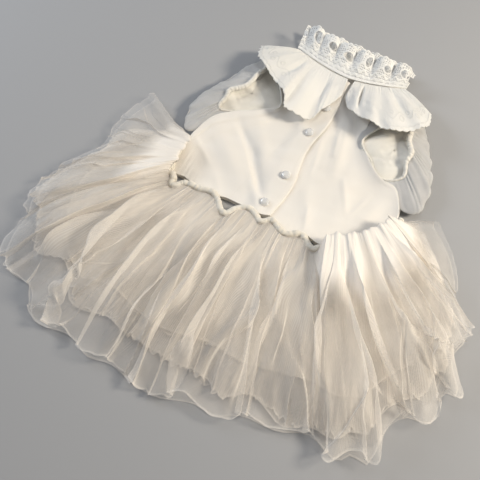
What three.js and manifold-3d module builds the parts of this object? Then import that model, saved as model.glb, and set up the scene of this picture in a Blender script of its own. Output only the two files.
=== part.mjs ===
// Dog dress laid flat on a table, buttoned front up: a cotton bodice, two puff sleeves, a wide
// collar flounce, eyelet lace at the neck and a gathered net skirt of three tiers.
// Millimetres. +Y runs from hem to neck, +X to the wearer's laid-out right, +Z up, table at z = 0.
import * as THREE from "three";
import { mergeVertices } from "three/addons/utils/BufferGeometryUtils.js";
import Module from "manifold-3d";

const wasm = await Module();
wasm.setup();

// Driving dimensions.
const seamGap = 0.3;
const curvedSeamGap = 0.8;
const cuffSeamGap = 1.1;
const cottonWall = 1.4;
const netWall = 1.0;
const flounceWall = 1.2;
const sleeveWall = 1.2;
const laceWall = 1.2;
const bodiceHalfWidth = 118;
const neckHalfWidth = 67;
const placketLap = 17;
const frontBackGap = 0.5;
const placketGap = 0.6;
const waistRollRadius = 2.49;
const waistRollRipple = 2.2;
const waistRollRipples = 9;
const cuffRadius = 2;
const cuffGathers = 8;
const rightCuffShift = { x: 5, y: 4 };
const skirtFolds = 24;
const samplesPerFold = 4;
const foldHeightAtWaist = 1.2;
const foldHeightAtHem = 11;
const tierSpacingAtWaist = 1.8;
const tierSpacingAtHem = 3.4;
const innerTierRadius = 1.0;
const neckCentreX = 4;
const neckFrontY = 193;
const neckSideRise = 17;
const neckBackY = 216;
const neckBackRise = 4;
const collarNeckHeight = 13;
const collarRipples = 5;
const collarRippleHeight = 2.2;
const laceHeight = 31;
const laceSeamStep = 0.3;
const laceLobes = 7;
const laceLobeHeight = 5.5;
const eyeletWidth = 4.4;
const eyeletLength = 9;
const buttonDiameter = 11;
const buttonHeight = 3.6;
const buttonGap = 0.65;

// The waist seam and the skirt's hem, left side fold to right side fold. puff is how far the
// net stands up between them.
const skirtStations = [
  { waistX: -121, waistY: 36, hemX: -180, hemY: 66, puff: 0 },
  { waistX: -122, waistY: 18, hemX: -196, hemY: 0, puff: 5 },
  { waistX: -119, waistY: -2, hemX: -216, hemY: -78, puff: 9 },
  { waistX: -110, waistY: -12, hemX: -214, hemY: -148, puff: 10 },
  { waistX: -92, waistY: -18, hemX: -164, hemY: -200, puff: 9 },
  { waistX: -55, waistY: -23, hemX: -93, hemY: -214, puff: 10 },
  { waistX: -12, waistY: -25, hemX: -22, hemY: -217, puff: 11 },
  { waistX: 28, waistY: -24, hemX: 48, hemY: -211, puff: 10 },
  { waistX: 66, waistY: -18, hemX: 120, hemY: -199, puff: 12 },
  { waistX: 92, waistY: -5, hemX: 182, hemY: -181, puff: 12 },
  { waistX: 111, waistY: 14, hemX: 225, hemY: -108, puff: 10 },
  { waistX: 122, waistY: 31, hemX: 209, hemY: -32, puff: 6 },
  { waistX: 123, waistY: 42, hemX: 152, hemY: 50, puff: 0 },
];

const skirtTiers = [
  { name: "skirt_outer", level: 0, length: 1, rows: 5, puffShare: 1 },
  { name: "skirt_middle", level: 1, length: 0.84, rows: 3, puffShare: 0.5 },
  { name: "skirt_inner", level: 2, length: 0.7, rows: 2, puffShare: 0.1 },
];

// Side edge of the back, waist to shoulder, for the right half; the left half mirrors it.
const backSide = [
  { x: 116, y: 38 },
  { x: 117, y: 62 },
  { x: 112, y: 100 },
  { x: 100, y: 155 },
  { x: 82, y: 200 },
  { x: 68, y: 216 },
];

// Side edge of a front, up the side fold and round the armhole to the neck, for the right half.
const frontSide = [
  { x: 116, y: 38 },
  { x: 112, y: 62 },
  { x: 84, y: 78 },
  { x: 56, y: 96 },
  { x: 46, y: 124 },
  { x: 47, y: 160 },
  { x: 56, y: 205 },
];

// The placket edge of the upper front, hem to neck.
const placketEdge = [
  { x: 0, y: -20 },
  { x: 6, y: 18 },
  { x: 7, y: 40 },
  { x: 3, y: 72 },
  { x: 4, y: 95 },
  { x: 9, y: 122 },
  { x: 9, y: 150 },
  { x: 8, y: 190 },
];

// Soft ridges on the fronts: each runs from one point to another.
const bodiceRidges = [
  { fromX: -92, fromY: 82, toX: -24, toY: 22, spread: 6, height: 3.2 },
  { fromX: -66, fromY: 92, toX: -34, toY: 44, spread: 5, height: 2.4 },
  { fromX: -44, fromY: 36, toX: -12, toY: -8, spread: 5, height: 2.6 },
  { fromX: -34, fromY: 132, toX: -8, toY: 102, spread: 6, height: 1.8 },
  { fromX: -98, fromY: 34, toX: -58, toY: -2, spread: 7, height: 2.0 },
  { fromX: -6, fromY: 70, toX: -40, toY: 62, spread: 6, height: 1.4 },
  { fromX: 8, fromY: 84, toX: 9, toY: 128, spread: 6, height: 3.0 },
  { fromX: 26, fromY: 140, toX: 38, toY: 66, spread: 6, height: 3.2 },
  { fromX: 50, fromY: 84, toX: 62, toY: 18, spread: 7, height: 2.4 },
  { fromX: 96, fromY: 66, toX: 74, toY: 10, spread: 7, height: 2.6 },
  { fromX: 24, fromY: 40, toX: 46, toY: -12, spread: 6, height: 2.2 },
];

// Sleeve rings at eight stations, clockwise from the shoulder, for the left sleeve. base is the
// armhole seam, swell the fullest part of the puff, rim the gathered edge that the cuff holds.
const sleeveStations = [
  { baseX: -66, baseY: 199, baseZ: 6.0, swellX: -80, swellY: 198, swellZ: 12, rimX: -74, rimY: 157, rimZ: 18 },
  { baseX: -92, baseY: 174, baseZ: 4.6, swellX: -105, swellY: 160, swellZ: 12, rimX: -86, rimY: 155, rimZ: 20 },
  { baseX: -104, baseY: 136, baseZ: 4.4, swellX: -126, swellY: 116, swellZ: 12, rimX: -93, rimY: 127, rimZ: 25 },
  { baseX: -108, baseY: 96, baseZ: 3.4, swellX: -138, swellY: 76, swellZ: 11, rimX: -99, rimY: 101, rimZ: 26 },
  { baseX: -103, baseY: 74, baseZ: 5.2, swellX: -122, swellY: 48, swellZ: 12, rimX: -99, rimY: 79, rimZ: 23 },
  { baseX: -76, baseY: 86, baseZ: 5.2, swellX: -74, swellY: 74, swellZ: 14, rimX: -72, rimY: 90, rimZ: 20 },
  { baseX: -52, baseY: 103, baseZ: 5.4, swellX: -40, swellY: 94, swellZ: 14, rimX: -45, rimY: 107, rimZ: 19 },
  { baseX: -48, baseY: 150, baseZ: 5.6, swellX: -34, swellY: 146, swellZ: 12, rimX: -45, rimY: 134, rimZ: 18 },
];

// The collar flounce, from the placket out to the shoulder tip.
const leftCollar = [
  { neckX: 4, hemX: 7, hemY: 167, hemZ: 12 },
  { neckX: -9, hemX: -3, hemY: 140, hemZ: 13 },
  { neckX: -22, hemX: -13, hemY: 118, hemZ: 13 },
  { neckX: -34, hemX: -38, hemY: 112, hemZ: 24 },
  { neckX: -44, hemX: -48, hemY: 128, hemZ: 27 },
  { neckX: -53, hemX: -76, hemY: 149, hemZ: 28 },
  { neckX: -60, hemX: -98, hemY: 168, hemZ: 26 },
  { neckX: -66, hemX: -105, hemY: 190, hemZ: 18 },
];
const rightCollar = [
  { neckX: 12, hemX: 11, hemY: 168, hemZ: 10 },
  { neckX: 20, hemX: 22, hemY: 150, hemZ: 14 },
  { neckX: 29, hemX: 38, hemY: 139, hemZ: 23 },
  { neckX: 38, hemX: 57, hemY: 132, hemZ: 28 },
  { neckX: 46, hemX: 78, hemY: 130, hemZ: 30 },
  { neckX: 54, hemX: 99, hemY: 144, hemZ: 28 },
  { neckX: 61, hemX: 109, hemY: 160, hemZ: 24 },
  { neckX: 67, hemX: 106, hemY: 180, hemZ: 18 },
];
const backCollar = [
  { neckX: -68, neckY: 213, hemX: -104, hemY: 180 },
  { neckX: -45, neckY: 214, hemX: -66, hemY: 166 },
  { neckX: 0, neckY: 215, hemX: 0, hemY: 160 },
  { neckX: 45, neckY: 214, hemX: 66, hemY: 166 },
  { neckX: 68, neckY: 213, hemX: 106, hemY: 178 },
];

const buttonSeats = [
  { x: -2, y: 147 },
  { x: -5, y: 106 },
  { x: -4, y: 43 },
  { x: -9, y: 2 },
];

const finishes = {
  cotton: new THREE.MeshStandardMaterial({ color: 0xf4f0e6, roughness: 0.75, metalness: 0 }),
  voile: new THREE.MeshStandardMaterial({ color: 0xeeeae0, roughness: 0.7, metalness: 0 }),
  lace: new THREE.MeshStandardMaterial({ color: 0xf6f2ea, roughness: 0.8, metalness: 0 }),
  net: new THREE.MeshStandardMaterial({ color: 0xf2eee6, roughness: 0.6, metalness: 0 }),
  binding: new THREE.MeshStandardMaterial({ color: 0xf3e8d2, roughness: 0.8, metalness: 0 }),
  button: new THREE.MeshStandardMaterial({ color: 0xe9ecef, roughness: 0.12, metalness: 0 }),
};

const dress = new THREE.Group();

function addPiece(name, geometry, finish) {
  const mesh = new THREE.Mesh(geometry, finish.clone());
  mesh.name = name;
  dress.add(mesh);
}

function mix(a, b, share) {
  return a + (b - a) * share;
}

function ramp(from, to, value) {
  const share = Math.min(1, Math.max(0, (value - from) / (to - from)));
  return share * share * (3 - 2 * share);
}

// A table's column at a share of the way down its rows, as a smooth curve through them.
function along(table, column, share, closed = false) {
  const spans = closed ? table.length : table.length - 1;
  const place = closed ? ((share % 1) + 1) % 1 * spans : Math.min(1, Math.max(0, share)) * spans;
  const row = Math.min(Math.floor(place), spans - 1);
  const t = place - row;
  const value = (step) => {
    const index = row + step;
    const wrapped = (index + table.length) % table.length;
    const held = Math.min(table.length - 1, Math.max(0, index));
    return table[closed ? wrapped : held][column];
  };
  const [before, start, end, after] = [value(-1), value(0), value(1), value(2)];
  const startSlope = (end - before) / 2;
  const endSlope = (after - start) / 2;
  const square = t * t;
  const cube = square * t;
  return (2 * cube - 3 * square + 1) * start + (cube - 2 * square + t) * startSlope
    + (3 * square - 2 * cube) * end + (cube - square) * endSlope;
}

// A closed wall round a grid of points. grid[i][j]: i runs across, j along; a ring joins its
// last column to its first.
function wallFromGrid(grid, wall, ring = false) {
  const columns = grid.length;
  const rows = grid[0].length;
  const across = (i) => (ring ? (i + columns) % columns : Math.min(columns - 1, Math.max(0, i)));
  const down = (j) => Math.min(rows - 1, Math.max(0, j));
  const positions = [];
  for (const side of [0.5, -0.5]) {
    for (let i = 0; i < columns; i += 1) {
      for (let j = 0; j < rows; j += 1) {
        const stepAcross = grid[across(i + 1)][j].clone().sub(grid[across(i - 1)][j]);
        const stepDown = grid[i][down(j + 1)].clone().sub(grid[i][down(j - 1)]);
        const normal = stepAcross.cross(stepDown).normalize();
        const point = grid[i][j].clone().addScaledVector(normal, side * wall);
        positions.push(point.x, point.y, point.z);
      }
    }
  }
  const faces = [];
  const quad = (a, b, c, d) => faces.push(a, b, c, a, c, d);
  const top = (i, j) => across(i) * rows + j;
  const under = (i, j) => columns * rows + across(i) * rows + j;
  const lastColumn = ring ? columns : columns - 1;
  for (let i = 0; i < lastColumn; i += 1) {
    for (let j = 0; j < rows - 1; j += 1) {
      quad(top(i, j), top(i + 1, j), top(i + 1, j + 1), top(i, j + 1));
      quad(under(i, j + 1), under(i + 1, j + 1), under(i + 1, j), under(i, j));
    }
    quad(top(i + 1, 0), top(i, 0), under(i, 0), under(i + 1, 0));
    quad(top(i, rows - 1), top(i + 1, rows - 1), under(i + 1, rows - 1), under(i, rows - 1));
  }
  if (!ring) {
    for (let j = 0; j < rows - 1; j += 1) {
      quad(top(0, j), top(0, j + 1), under(0, j + 1), under(0, j));
      quad(top(columns - 1, j + 1), top(columns - 1, j), under(columns - 1, j), under(columns - 1, j + 1));
    }
  }
  return indexedGeometry(positions, faces);
}

function indexedGeometry(positions, faces) {
  const geometry = new THREE.BufferGeometry();
  geometry.setAttribute("position", new THREE.Float32BufferAttribute(positions, 3));
  geometry.setIndex(faces);
  return geometry;
}

function gridOf(columns, rows, pointAt) {
  const grid = [];
  for (let i = 0; i < columns; i += 1) {
    const column = [];
    for (let j = 0; j < rows; j += 1) {
      column.push(pointAt(i / (columns - 1), j / (rows - 1)));
    }
    grid.push(column);
  }
  return grid;
}

// A roll of cord round a closed path. Each station gives its centre and the level direction
// across the path; the section has six sides, one of them flat underneath.
function rollAlong(stations, radius) {
  const sides = 6;
  const count = stations.length;
  const positions = [];
  stations.forEach((station, i) => {
    const next = stations[(i + 1) % count].centre;
    const before = stations[(i + count - 1) % count].centre;
    const travel = next.clone().sub(before).normalize();
    const rise = travel.clone().cross(station.level).normalize();
    for (let k = 0; k < sides; k += 1) {
      const angle = (2 * Math.PI * k) / sides;
      const point = station.centre.clone()
        .addScaledVector(station.level, radius * Math.cos(angle))
        .addScaledVector(rise, radius * Math.sin(angle));
      positions.push(point.x, point.y, point.z);
    }
  });
  const faces = [];
  for (let i = 0; i < count; i += 1) {
    for (let k = 0; k < sides; k += 1) {
      const a = i * sides + k;
      const b = i * sides + ((k + 1) % sides);
      const c = ((i + 1) % count) * sides + ((k + 1) % sides);
      const d = ((i + 1) % count) * sides + k;
      faces.push(a, b, c, a, c, d);
    }
  }
  return outwardRoll(positions, faces);
}

// Turns a closed surface's faces outward by the sign of its volume.
function outwardRoll(positions, faces) {
  let volume = 0;
  const corner = (index) => new THREE.Vector3().fromArray(positions, index * 3);
  for (let f = 0; f < faces.length; f += 3) {
    volume += corner(faces[f]).dot(corner(faces[f + 1]).cross(corner(faces[f + 2])));
  }
  return indexedGeometry(positions, volume < 0 ? faces.slice().reverse() : faces);
}

// Waist seam: plan position and level outward direction at a share of the way round the front.
function waistPoint(share) {
  return new THREE.Vector3(along(skirtStations, "waistX", share), along(skirtStations, "waistY", share), 0);
}

function waistOutward(share) {
  const step = 0.01;
  const travel = waistPoint(Math.min(1, share + step)).sub(waistPoint(Math.max(0, share - step)));
  return new THREE.Vector3(travel.y, -travel.x, 0).normalize();
}

function rollRipple(share) {
  const window = Math.sin(Math.PI * share) ** 0.5;
  const ripple = Math.sin(2 * Math.PI * waistRollRipples * share + 1.1 * Math.sin(7 * share));
  return waistRollRipple * window * ripple;
}

function rollCentre(share) {
  return waistPoint(share).addScaledVector(waistOutward(share), rollRipple(share));
}

// Skirt. The tiers are nested tubes laid flat: each front and back lie level with a round side
// fold between them, and the fronts' folds are in step, so that no tier crosses the next.
const rollFlatHalf = waistRollRadius * Math.cos(Math.PI / 6);
const foldWeights = [];
for (let i = 0; i < skirtFolds; i += 1) {
  foldWeights.push(1 + 0.3 * Math.sin(2.4 * i + 0.7) + 0.16 * Math.sin(5.1 * i));
}
const weightTotal = foldWeights.reduce((sum, weight) => sum + weight, 0);

function foldShare(foldPlace) {
  const fold = Math.min(skirtFolds - 1, Math.floor(foldPlace));
  const done = foldWeights.slice(0, fold).reduce((sum, weight) => sum + weight, 0);
  return (done + foldWeights[fold] * (foldPlace - fold)) / weightTotal;
}

function foldRise(foldPlace, length) {
  const fold = Math.min(skirtFolds - 1, Math.floor(foldPlace));
  const unevenness = foldWeights[fold] * (0.86 + 0.18 * Math.sin(1.7 * fold + 1.1));
  const height = mix(foldHeightAtWaist, foldHeightAtHem, length ** 0.8);
  return (height * unevenness * (1 - Math.cos(2 * Math.PI * foldPlace))) / 2;
}

function skirtPlan(share, length) {
  const reach = 1 + 0.022 * Math.sin(61 * share + 1) + 0.016 * Math.sin(37 * share);
  const start = rollCentre(share).addScaledVector(waistOutward(share), waistRollRadius + curvedSeamGap);
  const end = new THREE.Vector3(along(skirtStations, "hemX", share), along(skirtStations, "hemY", share), 0);
  return start.lerp(end, length * mix(1, reach, length));
}

function tierRadius(tier, length) {
  const spacing = mix(tierSpacingAtWaist, tierSpacingAtHem, length);
  return innerTierRadius + (2 - tier.level) * spacing;
}

function skirtPoint(tier, share, length, foldPlace, turn) {
  const radius = tierRadius(tier, length);
  const middle = netWall / 2 + tierRadius(skirtTiers[0], length);
  const point = skirtPlan(share, length);
  point.z = middle + radius * Math.sin(turn);
  if (foldPlace !== null) {
    const puff = along(skirtStations, "puff", share) * tier.puffShare;
    point.z += foldRise(foldPlace, length) + puff * Math.sin(Math.PI * length ** 0.8);
  }
  if (Math.abs(Math.cos(turn)) > 1e-6) {
    const step = share < 0.5 ? 0.01 : -0.01;
    const outward = skirtPlan(share, length).sub(skirtPlan(share + step, length)).normalize();
    point.addScaledVector(outward, radius * Math.abs(Math.cos(turn)));
  }
  return point;
}

function skirtGrid(tier) {
  const columns = [];
  const frontColumns = skirtFolds * samplesPerFold;
  const backColumns = 20;
  const capSteps = 4;
  for (let i = 0; i <= frontColumns; i += 1) {
    const foldPlace = i / samplesPerFold;
    columns.push({ share: foldShare(foldPlace), foldPlace, turn: Math.PI / 2 });
  }
  for (let k = 1; k < capSteps; k += 1) {
    columns.push({ share: 1, foldPlace: null, turn: Math.PI / 2 - (Math.PI * k) / capSteps });
  }
  for (let i = 0; i <= backColumns; i += 1) {
    columns.push({ share: 1 - i / backColumns, foldPlace: null, turn: -Math.PI / 2 });
  }
  for (let k = 1; k < capSteps; k += 1) {
    columns.push({ share: 0, foldPlace: null, turn: -Math.PI / 2 + (Math.PI * k) / capSteps });
  }
  return columns.map(({ share, foldPlace, turn }) => {
    const column = [];
    for (let j = 0; j <= tier.rows; j += 1) {
      column.push(skirtPoint(tier, share, (tier.length * j) / tier.rows, foldPlace, turn));
    }
    return column;
  });
}

function makeSkirt() {
  for (const tier of skirtTiers) {
    addPiece(tier.name, wallFromGrid(skirtGrid(tier), netWall, true), finishes.net);
  }
}

// The rolled casing at the top of the skirt: across the front, down round each side fold and
// back flat on the table.
function makeWaistRoll() {
  const steps = 54;
  const backSteps = 20;
  const turnSteps = 4;
  const backHeight = rollFlatHalf;
  const frontHeight = netWall / 2 + 2 * tierRadius(skirtTiers[0], 0) - rollFlatHalf + seamGap;
  const middle = (backHeight + frontHeight) / 2;
  const turnRadius = (frontHeight - backHeight) / 2;
  const stations = [];
  const add = (share, height, ahead) => {
    const centre = rollCentre(share);
    const level = waistOutward(share);
    centre.addScaledVector(new THREE.Vector3(-level.y, level.x, 0), ahead);
    centre.z = height;
    stations.push({ centre, level });
  };
  for (let i = 0; i <= steps; i += 1) {
    add(i / steps, frontHeight, 0);
  }
  for (let k = 1; k < turnSteps; k += 1) {
    const turn = (Math.PI * k) / turnSteps;
    add(1, middle + turnRadius * Math.cos(turn), turnRadius * Math.sin(turn));
  }
  for (let i = 0; i <= backSteps; i += 1) {
    add(1 - i / backSteps, backHeight, 0);
  }
  for (let k = 1; k < turnSteps; k += 1) {
    const turn = (Math.PI * k) / turnSteps;
    add(0, middle - turnRadius * Math.cos(turn), -turnRadius * Math.sin(turn));
  }
  addPiece("waist_roll", rollAlong(stations, waistRollRadius), finishes.binding);
}

// A four-sided patch of cloth in plan: bottom and top run across, left and right run up.
function patchPoint(sides, across, up) {
  const { bottom, top, left, right } = sides;
  const low = bottom(across).multiplyScalar(1 - up).addScaledVector(top(across), up);
  const level = left(up).multiplyScalar(1 - across).addScaledVector(right(up), across);
  const corners = bottom(0).multiplyScalar((1 - across) * (1 - up))
    .addScaledVector(bottom(1), across * (1 - up))
    .addScaledVector(top(0), (1 - across) * up)
    .addScaledVector(top(1), across * up);
  return low.add(level).sub(corners);
}

// The bodice's hem lies just inside the waist seam, clear of the roll's ripples.
function hemPoint(share) {
  const inset = waistRollRadius + waistRollRipple * Math.sin(Math.PI * share) ** 0.5 + seamGap;
  return waistPoint(share).addScaledVector(waistOutward(share), -inset);
}

function edgePoint(table, share, side) {
  return new THREE.Vector3(side * along(table, "x", share), along(table, "y", share), 0);
}

function ridgeRise(x, y) {
  let rise = 0;
  for (const ridge of bodiceRidges) {
    const run = new THREE.Vector2(ridge.toX - ridge.fromX, ridge.toY - ridge.fromY);
    const offset = new THREE.Vector2(x - ridge.fromX, y - ridge.fromY);
    const place = Math.min(1, Math.max(0, offset.dot(run) / run.lengthSq()));
    const distance = offset.sub(run.multiplyScalar(place)).length();
    rise += ridge.height * Math.exp(-((distance / ridge.spread) ** 2)) * Math.sin(Math.PI * mix(0.15, 0.85, place));
  }
  return rise;
}

// The back neckline is nearly straight.
function backNeckY(share) {
  return neckBackY + neckBackRise * Math.sin(Math.PI * share);
}

// The front neckline dips to its lowest at the placket.
function frontNeckY(x) {
  return neckFrontY + neckSideRise * Math.min(1, Math.abs(x - neckCentreX) / neckHalfWidth) ** 1.6;
}

// Height of a front's middle surface. The lower front passes one wall beneath the upper one.
function frontHeight(x, y, upper) {
  const nearSide = Math.min(1, Math.abs(x) / bodiceHalfWidth);
  const aboveWaist = y - (-26 + 66 * nearSide ** 5);
  const bed = cottonWall + cottonWall / 2 + frontBackGap;
  const hemRise = 2.2 * Math.exp(-((aboveWaist / 26) ** 2));
  const neckRise = 5.7 * ramp(150, 195, y);
  const fullness = 1.2 * (1 - nearSide ** 2);
  const lift = upper ? (cottonWall + placketGap) * ramp(-30, -14, x) : 0;
  const ridgeShare = upper ? 1 : ramp(-14, 16, x);
  return bed + hemRise + neckRise + fullness + ridgeRise(x, y) * ridgeShare + lift;
}

function makeBack() {
  const sides = {
    bottom: (share) => hemPoint(mix(0.03, 0.97, share)),
    top: (share) => new THREE.Vector3(mix(-68, 68, share), backNeckY(share), 0),
    left: (share) => edgePoint(backSide, share, -1),
    right: (share) => edgePoint(backSide, share, 1),
  };
  const collarRoom = flounceWall + seamGap;
  const grid = gridOf(13, 12, (across, up) => {
    const point = patchPoint(sides, across, up);
    point.z = cottonWall / 2 + collarRoom * ramp(128, 146, point.y);
    return point;
  });
  addPiece("bodice_back", wallFromGrid(grid, cottonWall), finishes.cotton);
}

function makeFronts() {
  const placket = (share) => edgePoint(placketEdge, share, 1);
  const lapped = (share) => placket(share).add(new THREE.Vector3(-placketLap, 0, 0));
  const neck = (from, to) => (share) => {
    const x = mix(from, to, share);
    return new THREE.Vector3(x, frontNeckY(x) - 3, 0);
  };
  const leftSides = {
    bottom: (share) => hemPoint(mix(0.03, 0.532, share)),
    top: neck(-56, 8),
    left: (share) => edgePoint(frontSide, share, -1),
    right: placket,
  };
  const rightSides = {
    bottom: (share) => hemPoint(mix(0.49, 0.97, share)),
    top: neck(8 - placketLap, 56),
    left: lapped,
    right: (share) => edgePoint(frontSide, share, 1),
  };
  const front = (sides, upper) => gridOf(15, 13, (across, up) => {
    const point = patchPoint(sides, across, up);
    point.z = frontHeight(point.x, point.y, upper);
    return point;
  });
  addPiece("bodice_front_left", wallFromGrid(front(leftSides, true), cottonWall), finishes.cotton);
  addPiece("bodice_front_right", wallFromGrid(front(rightSides, false), cottonWall), finishes.cotton);
}

// A sleeve: a short puff from the armhole, out over the side and in to the gathered rim.
function sleevePoint(share, up, side) {
  const ring = (part) => new THREE.Vector3(
    side * -along(sleeveStations, `${part}X`, share, true),
    along(sleeveStations, `${part}Y`, share, true),
    along(sleeveStations, `${part}Z`, share, true),
  );
  const point = ring("base").multiplyScalar((1 - 2 * up) * (1 - up))
    .addScaledVector(ring("swell"), 4 * up * (1 - up))
    .addScaledVector(ring("rim"), up * (2 * up - 1));
  if (side > 0) {
    point.x += rightCuffShift.x * up;
    point.y += rightCuffShift.y * up;
  }
  const gather = Math.sin(2 * Math.PI * cuffGathers * share) * 1.3 * up ** 1.5;
  const centre = new THREE.Vector3(side * 70, 118, point.z);
  const outward = point.clone().sub(centre).normalize();
  return point.addScaledVector(outward, gather);
}

function makeSleeves() {
  const columns = 40;
  const rows = 5;
  for (const [name, side] of [["left", -1], ["right", 1]]) {
    const grid = [];
    for (let i = 0; i < columns; i += 1) {
      const share = side < 0 ? i / columns : 1 - i / columns;
      const column = [];
      for (let j = 0; j < rows; j += 1) {
        column.push(sleevePoint(share, j / (rows - 1), side));
      }
      grid.push(column);
    }
    addPiece(`sleeve_${name}`, wallFromGrid(grid, sleeveWall, true), finishes.voile);
    makeCuff(name, side);
  }
}

function makeCuff(name, side) {
  const count = 40;
  const stations = [];
  for (let i = 0; i < count; i += 1) {
    const share = i / count;
    const rim = sleevePoint(share, 1, side);
    const rise = rim.clone().sub(sleevePoint(share, 0.75, side)).normalize();
    const ahead = sleevePoint(share + 0.01, 1, side).sub(sleevePoint(share - 0.01, 1, side)).normalize();
    const level = rise.clone().cross(ahead).normalize();
    const centre = rim.addScaledVector(rise, cuffRadius + cuffSeamGap);
    stations.push({ centre, level });
  }
  addPiece(`cuff_${name}`, rollAlong(stations, cuffRadius), finishes.binding);
}

function collarPoint(table, across, down) {
  const at = (column) => along(table, column, across);
  const point = new THREE.Vector3(at("neckX"), frontNeckY(at("neckX")), collarNeckHeight);
  point.lerp(new THREE.Vector3(at("hemX"), at("hemY"), at("hemZ")), down);
  point.z += 2.4 * Math.sin(Math.PI * down);
  const ripple = Math.cos(2 * Math.PI * collarRipples * across + 0.6);
  point.z += collarRippleHeight * down * (1 + ripple) * Math.sin(Math.PI * mix(0.08, 0.92, across));
  return point;
}

function makeCollar() {
  const columns = 31;
  const rows = 5;
  const left = gridOf(columns, rows, (across, down) => collarPoint(leftCollar, 1 - across, down));
  const right = gridOf(columns, rows, (across, down) => collarPoint(rightCollar, across, down));
  const back = gridOf(17, 3, (across, down) => new THREE.Vector3(
    mix(along(backCollar, "neckX", across), along(backCollar, "hemX", across), down),
    mix(along(backCollar, "neckY", across), along(backCollar, "hemY", across), down),
    flounceWall / 2,
  ));
  addPiece("collar_left", wallFromGrid(left, flounceWall), finishes.cotton);
  addPiece("collar_right", wallFromGrid(right, flounceWall), finishes.cotton);
  addPiece("collar_back", wallFromGrid(back, flounceWall), finishes.cotton);
}

function solidOf(geometry) {
  const bare = geometry.clone();
  bare.deleteAttribute("normal");
  bare.deleteAttribute("uv");
  const merged = mergeVertices(bare, 1e-4);
  return new wasm.Manifold(new wasm.Mesh({
    numProp: 3,
    vertProperties: new Float32Array(merged.attributes.position.array),
    triVerts: new Uint32Array(merged.index.array),
  }));
}

function geometryOf(solid) {
  const mesh = solid.getMesh();
  return indexedGeometry(Array.from(mesh.vertProperties), Array.from(mesh.triVerts));
}

// Lace ruffle: lobes stand out from the neckline, with a row of ribbon eyelets cut through.
const laceRuffles = [
  { name: "lace_back", front: false, baseZ: 2.6, riseZ: 3.4, length: laceHeight + 2, phase: 0.3, eyelets: 9 },
  { name: "lace_front", front: true, baseZ: 14.4, riseZ: 9, length: laceHeight - 3, phase: 2.1, eyelets: 9 },
];

function lacePoint(ruffle, across, up) {
  const side = 2 * across - 1;
  const x = neckHalfWidth * side * mix(1, side < 0 ? 1.08 : 1.02, up);
  const baseX = neckHalfWidth * side;
  const baseY = (ruffle.front ? frontNeckY(baseX) : backNeckY(across)) + laceSeamStep;
  const wave = 2 * Math.PI * laceLobes * across + ruffle.phase + 0.8 * Math.sin(5 * across);
  const lobe = laceLobeHeight * up ** 0.8 * (1 + Math.sin(wave));
  const sway = 3.2 * up * Math.cos(wave);
  const frontFullness = ruffle.front ? 0.6 * neckSideRise * (1 - Math.abs(side) ** 1.6) : 0;
  const length = ruffle.length - 10 * across + frontFullness;
  return new THREE.Vector3(
    x + sway,
    baseY + length * up - 0.28 * lobe,
    ruffle.baseZ + ruffle.riseZ * Math.sin((Math.PI / 2) * up) + lobe,
  );
}

function eyeletCutter(ruffle, across) {
  const up = 0.42;
  const step = 0.006;
  const centre = lacePoint(ruffle, across, up);
  const sideways = lacePoint(ruffle, across + step, up).sub(lacePoint(ruffle, across - step, up)).normalize();
  const upward = lacePoint(ruffle, across, up + step).sub(lacePoint(ruffle, across, up - step)).normalize();
  const through = sideways.clone().cross(upward).normalize();
  const square = through.clone().cross(sideways).normalize();
  const outline = new THREE.Shape();
  outline.absellipse(0, 0, eyeletWidth / 2, eyeletLength / 2, 0, 2 * Math.PI);
  const depth = 5;
  const cutter = new THREE.ExtrudeGeometry(outline, { depth, curveSegments: 4, bevelEnabled: false });
  cutter.translate(0, 0, -depth / 2);
  const frame = new THREE.Matrix4().makeBasis(sideways, square, through).setPosition(centre);
  cutter.applyMatrix4(frame);
  return solidOf(cutter);
}

function makeLace() {
  for (const ruffle of laceRuffles) {
    const grid = gridOf(laceLobes * 6 + 1, 4, (across, up) => lacePoint(ruffle, across, up));
    let solid = solidOf(wallFromGrid(grid, laceWall));
    for (let i = 0; i < ruffle.eyelets; i += 1) {
      solid = solid.subtract(eyeletCutter(ruffle, (i + 0.7) / (ruffle.eyelets + 0.4)));
    }
    addPiece(ruffle.name, geometryOf(solid), finishes.lace);
  }
}

// Cut-glass buttons: a flat table, a faceted crown and a narrow foot.
function makeButtons() {
  const radius = buttonDiameter / 2;
  const profile = [
    [0, 0],
    [radius * 0.62, 0],
    [radius * 0.94, buttonHeight * 0.3],
    [radius, buttonHeight * 0.5],
    [radius * 0.6, buttonHeight],
    [0, buttonHeight],
  ].map(([r, z]) => new THREE.Vector2(r, z));
  buttonSeats.forEach((seat, index) => {
    const button = new THREE.LatheGeometry(profile, 8);
    button.rotateX(Math.PI / 2);
    const seatHeight = frontHeight(seat.x, seat.y, true) + cottonWall / 2 + buttonGap;
    button.translate(seat.x, seat.y, seatHeight);
    addPiece(`button_${index + 1}`, button, finishes.button);
  });
}

makeSkirt();
makeWaistRoll();
makeBack();
makeFronts();
makeSleeves();
makeCollar();
makeLace();
makeButtons();

export default dress;
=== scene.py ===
import math

import bpy
import numpy as np
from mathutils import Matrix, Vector


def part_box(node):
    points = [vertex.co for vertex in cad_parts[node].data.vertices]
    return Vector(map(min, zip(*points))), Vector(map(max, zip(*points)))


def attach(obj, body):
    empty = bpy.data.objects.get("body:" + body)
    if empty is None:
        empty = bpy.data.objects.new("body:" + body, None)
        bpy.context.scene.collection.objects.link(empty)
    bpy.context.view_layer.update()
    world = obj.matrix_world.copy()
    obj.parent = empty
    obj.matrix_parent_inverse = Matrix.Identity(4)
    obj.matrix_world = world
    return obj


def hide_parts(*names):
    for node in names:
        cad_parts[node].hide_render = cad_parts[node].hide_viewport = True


# A dog dress laid flat on a table, buttoned front up. Sizes are in millimetres; +Y runs from
# hem to neck, +X to the right and +Z up. Meshes are turned to metres as they are made.

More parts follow.
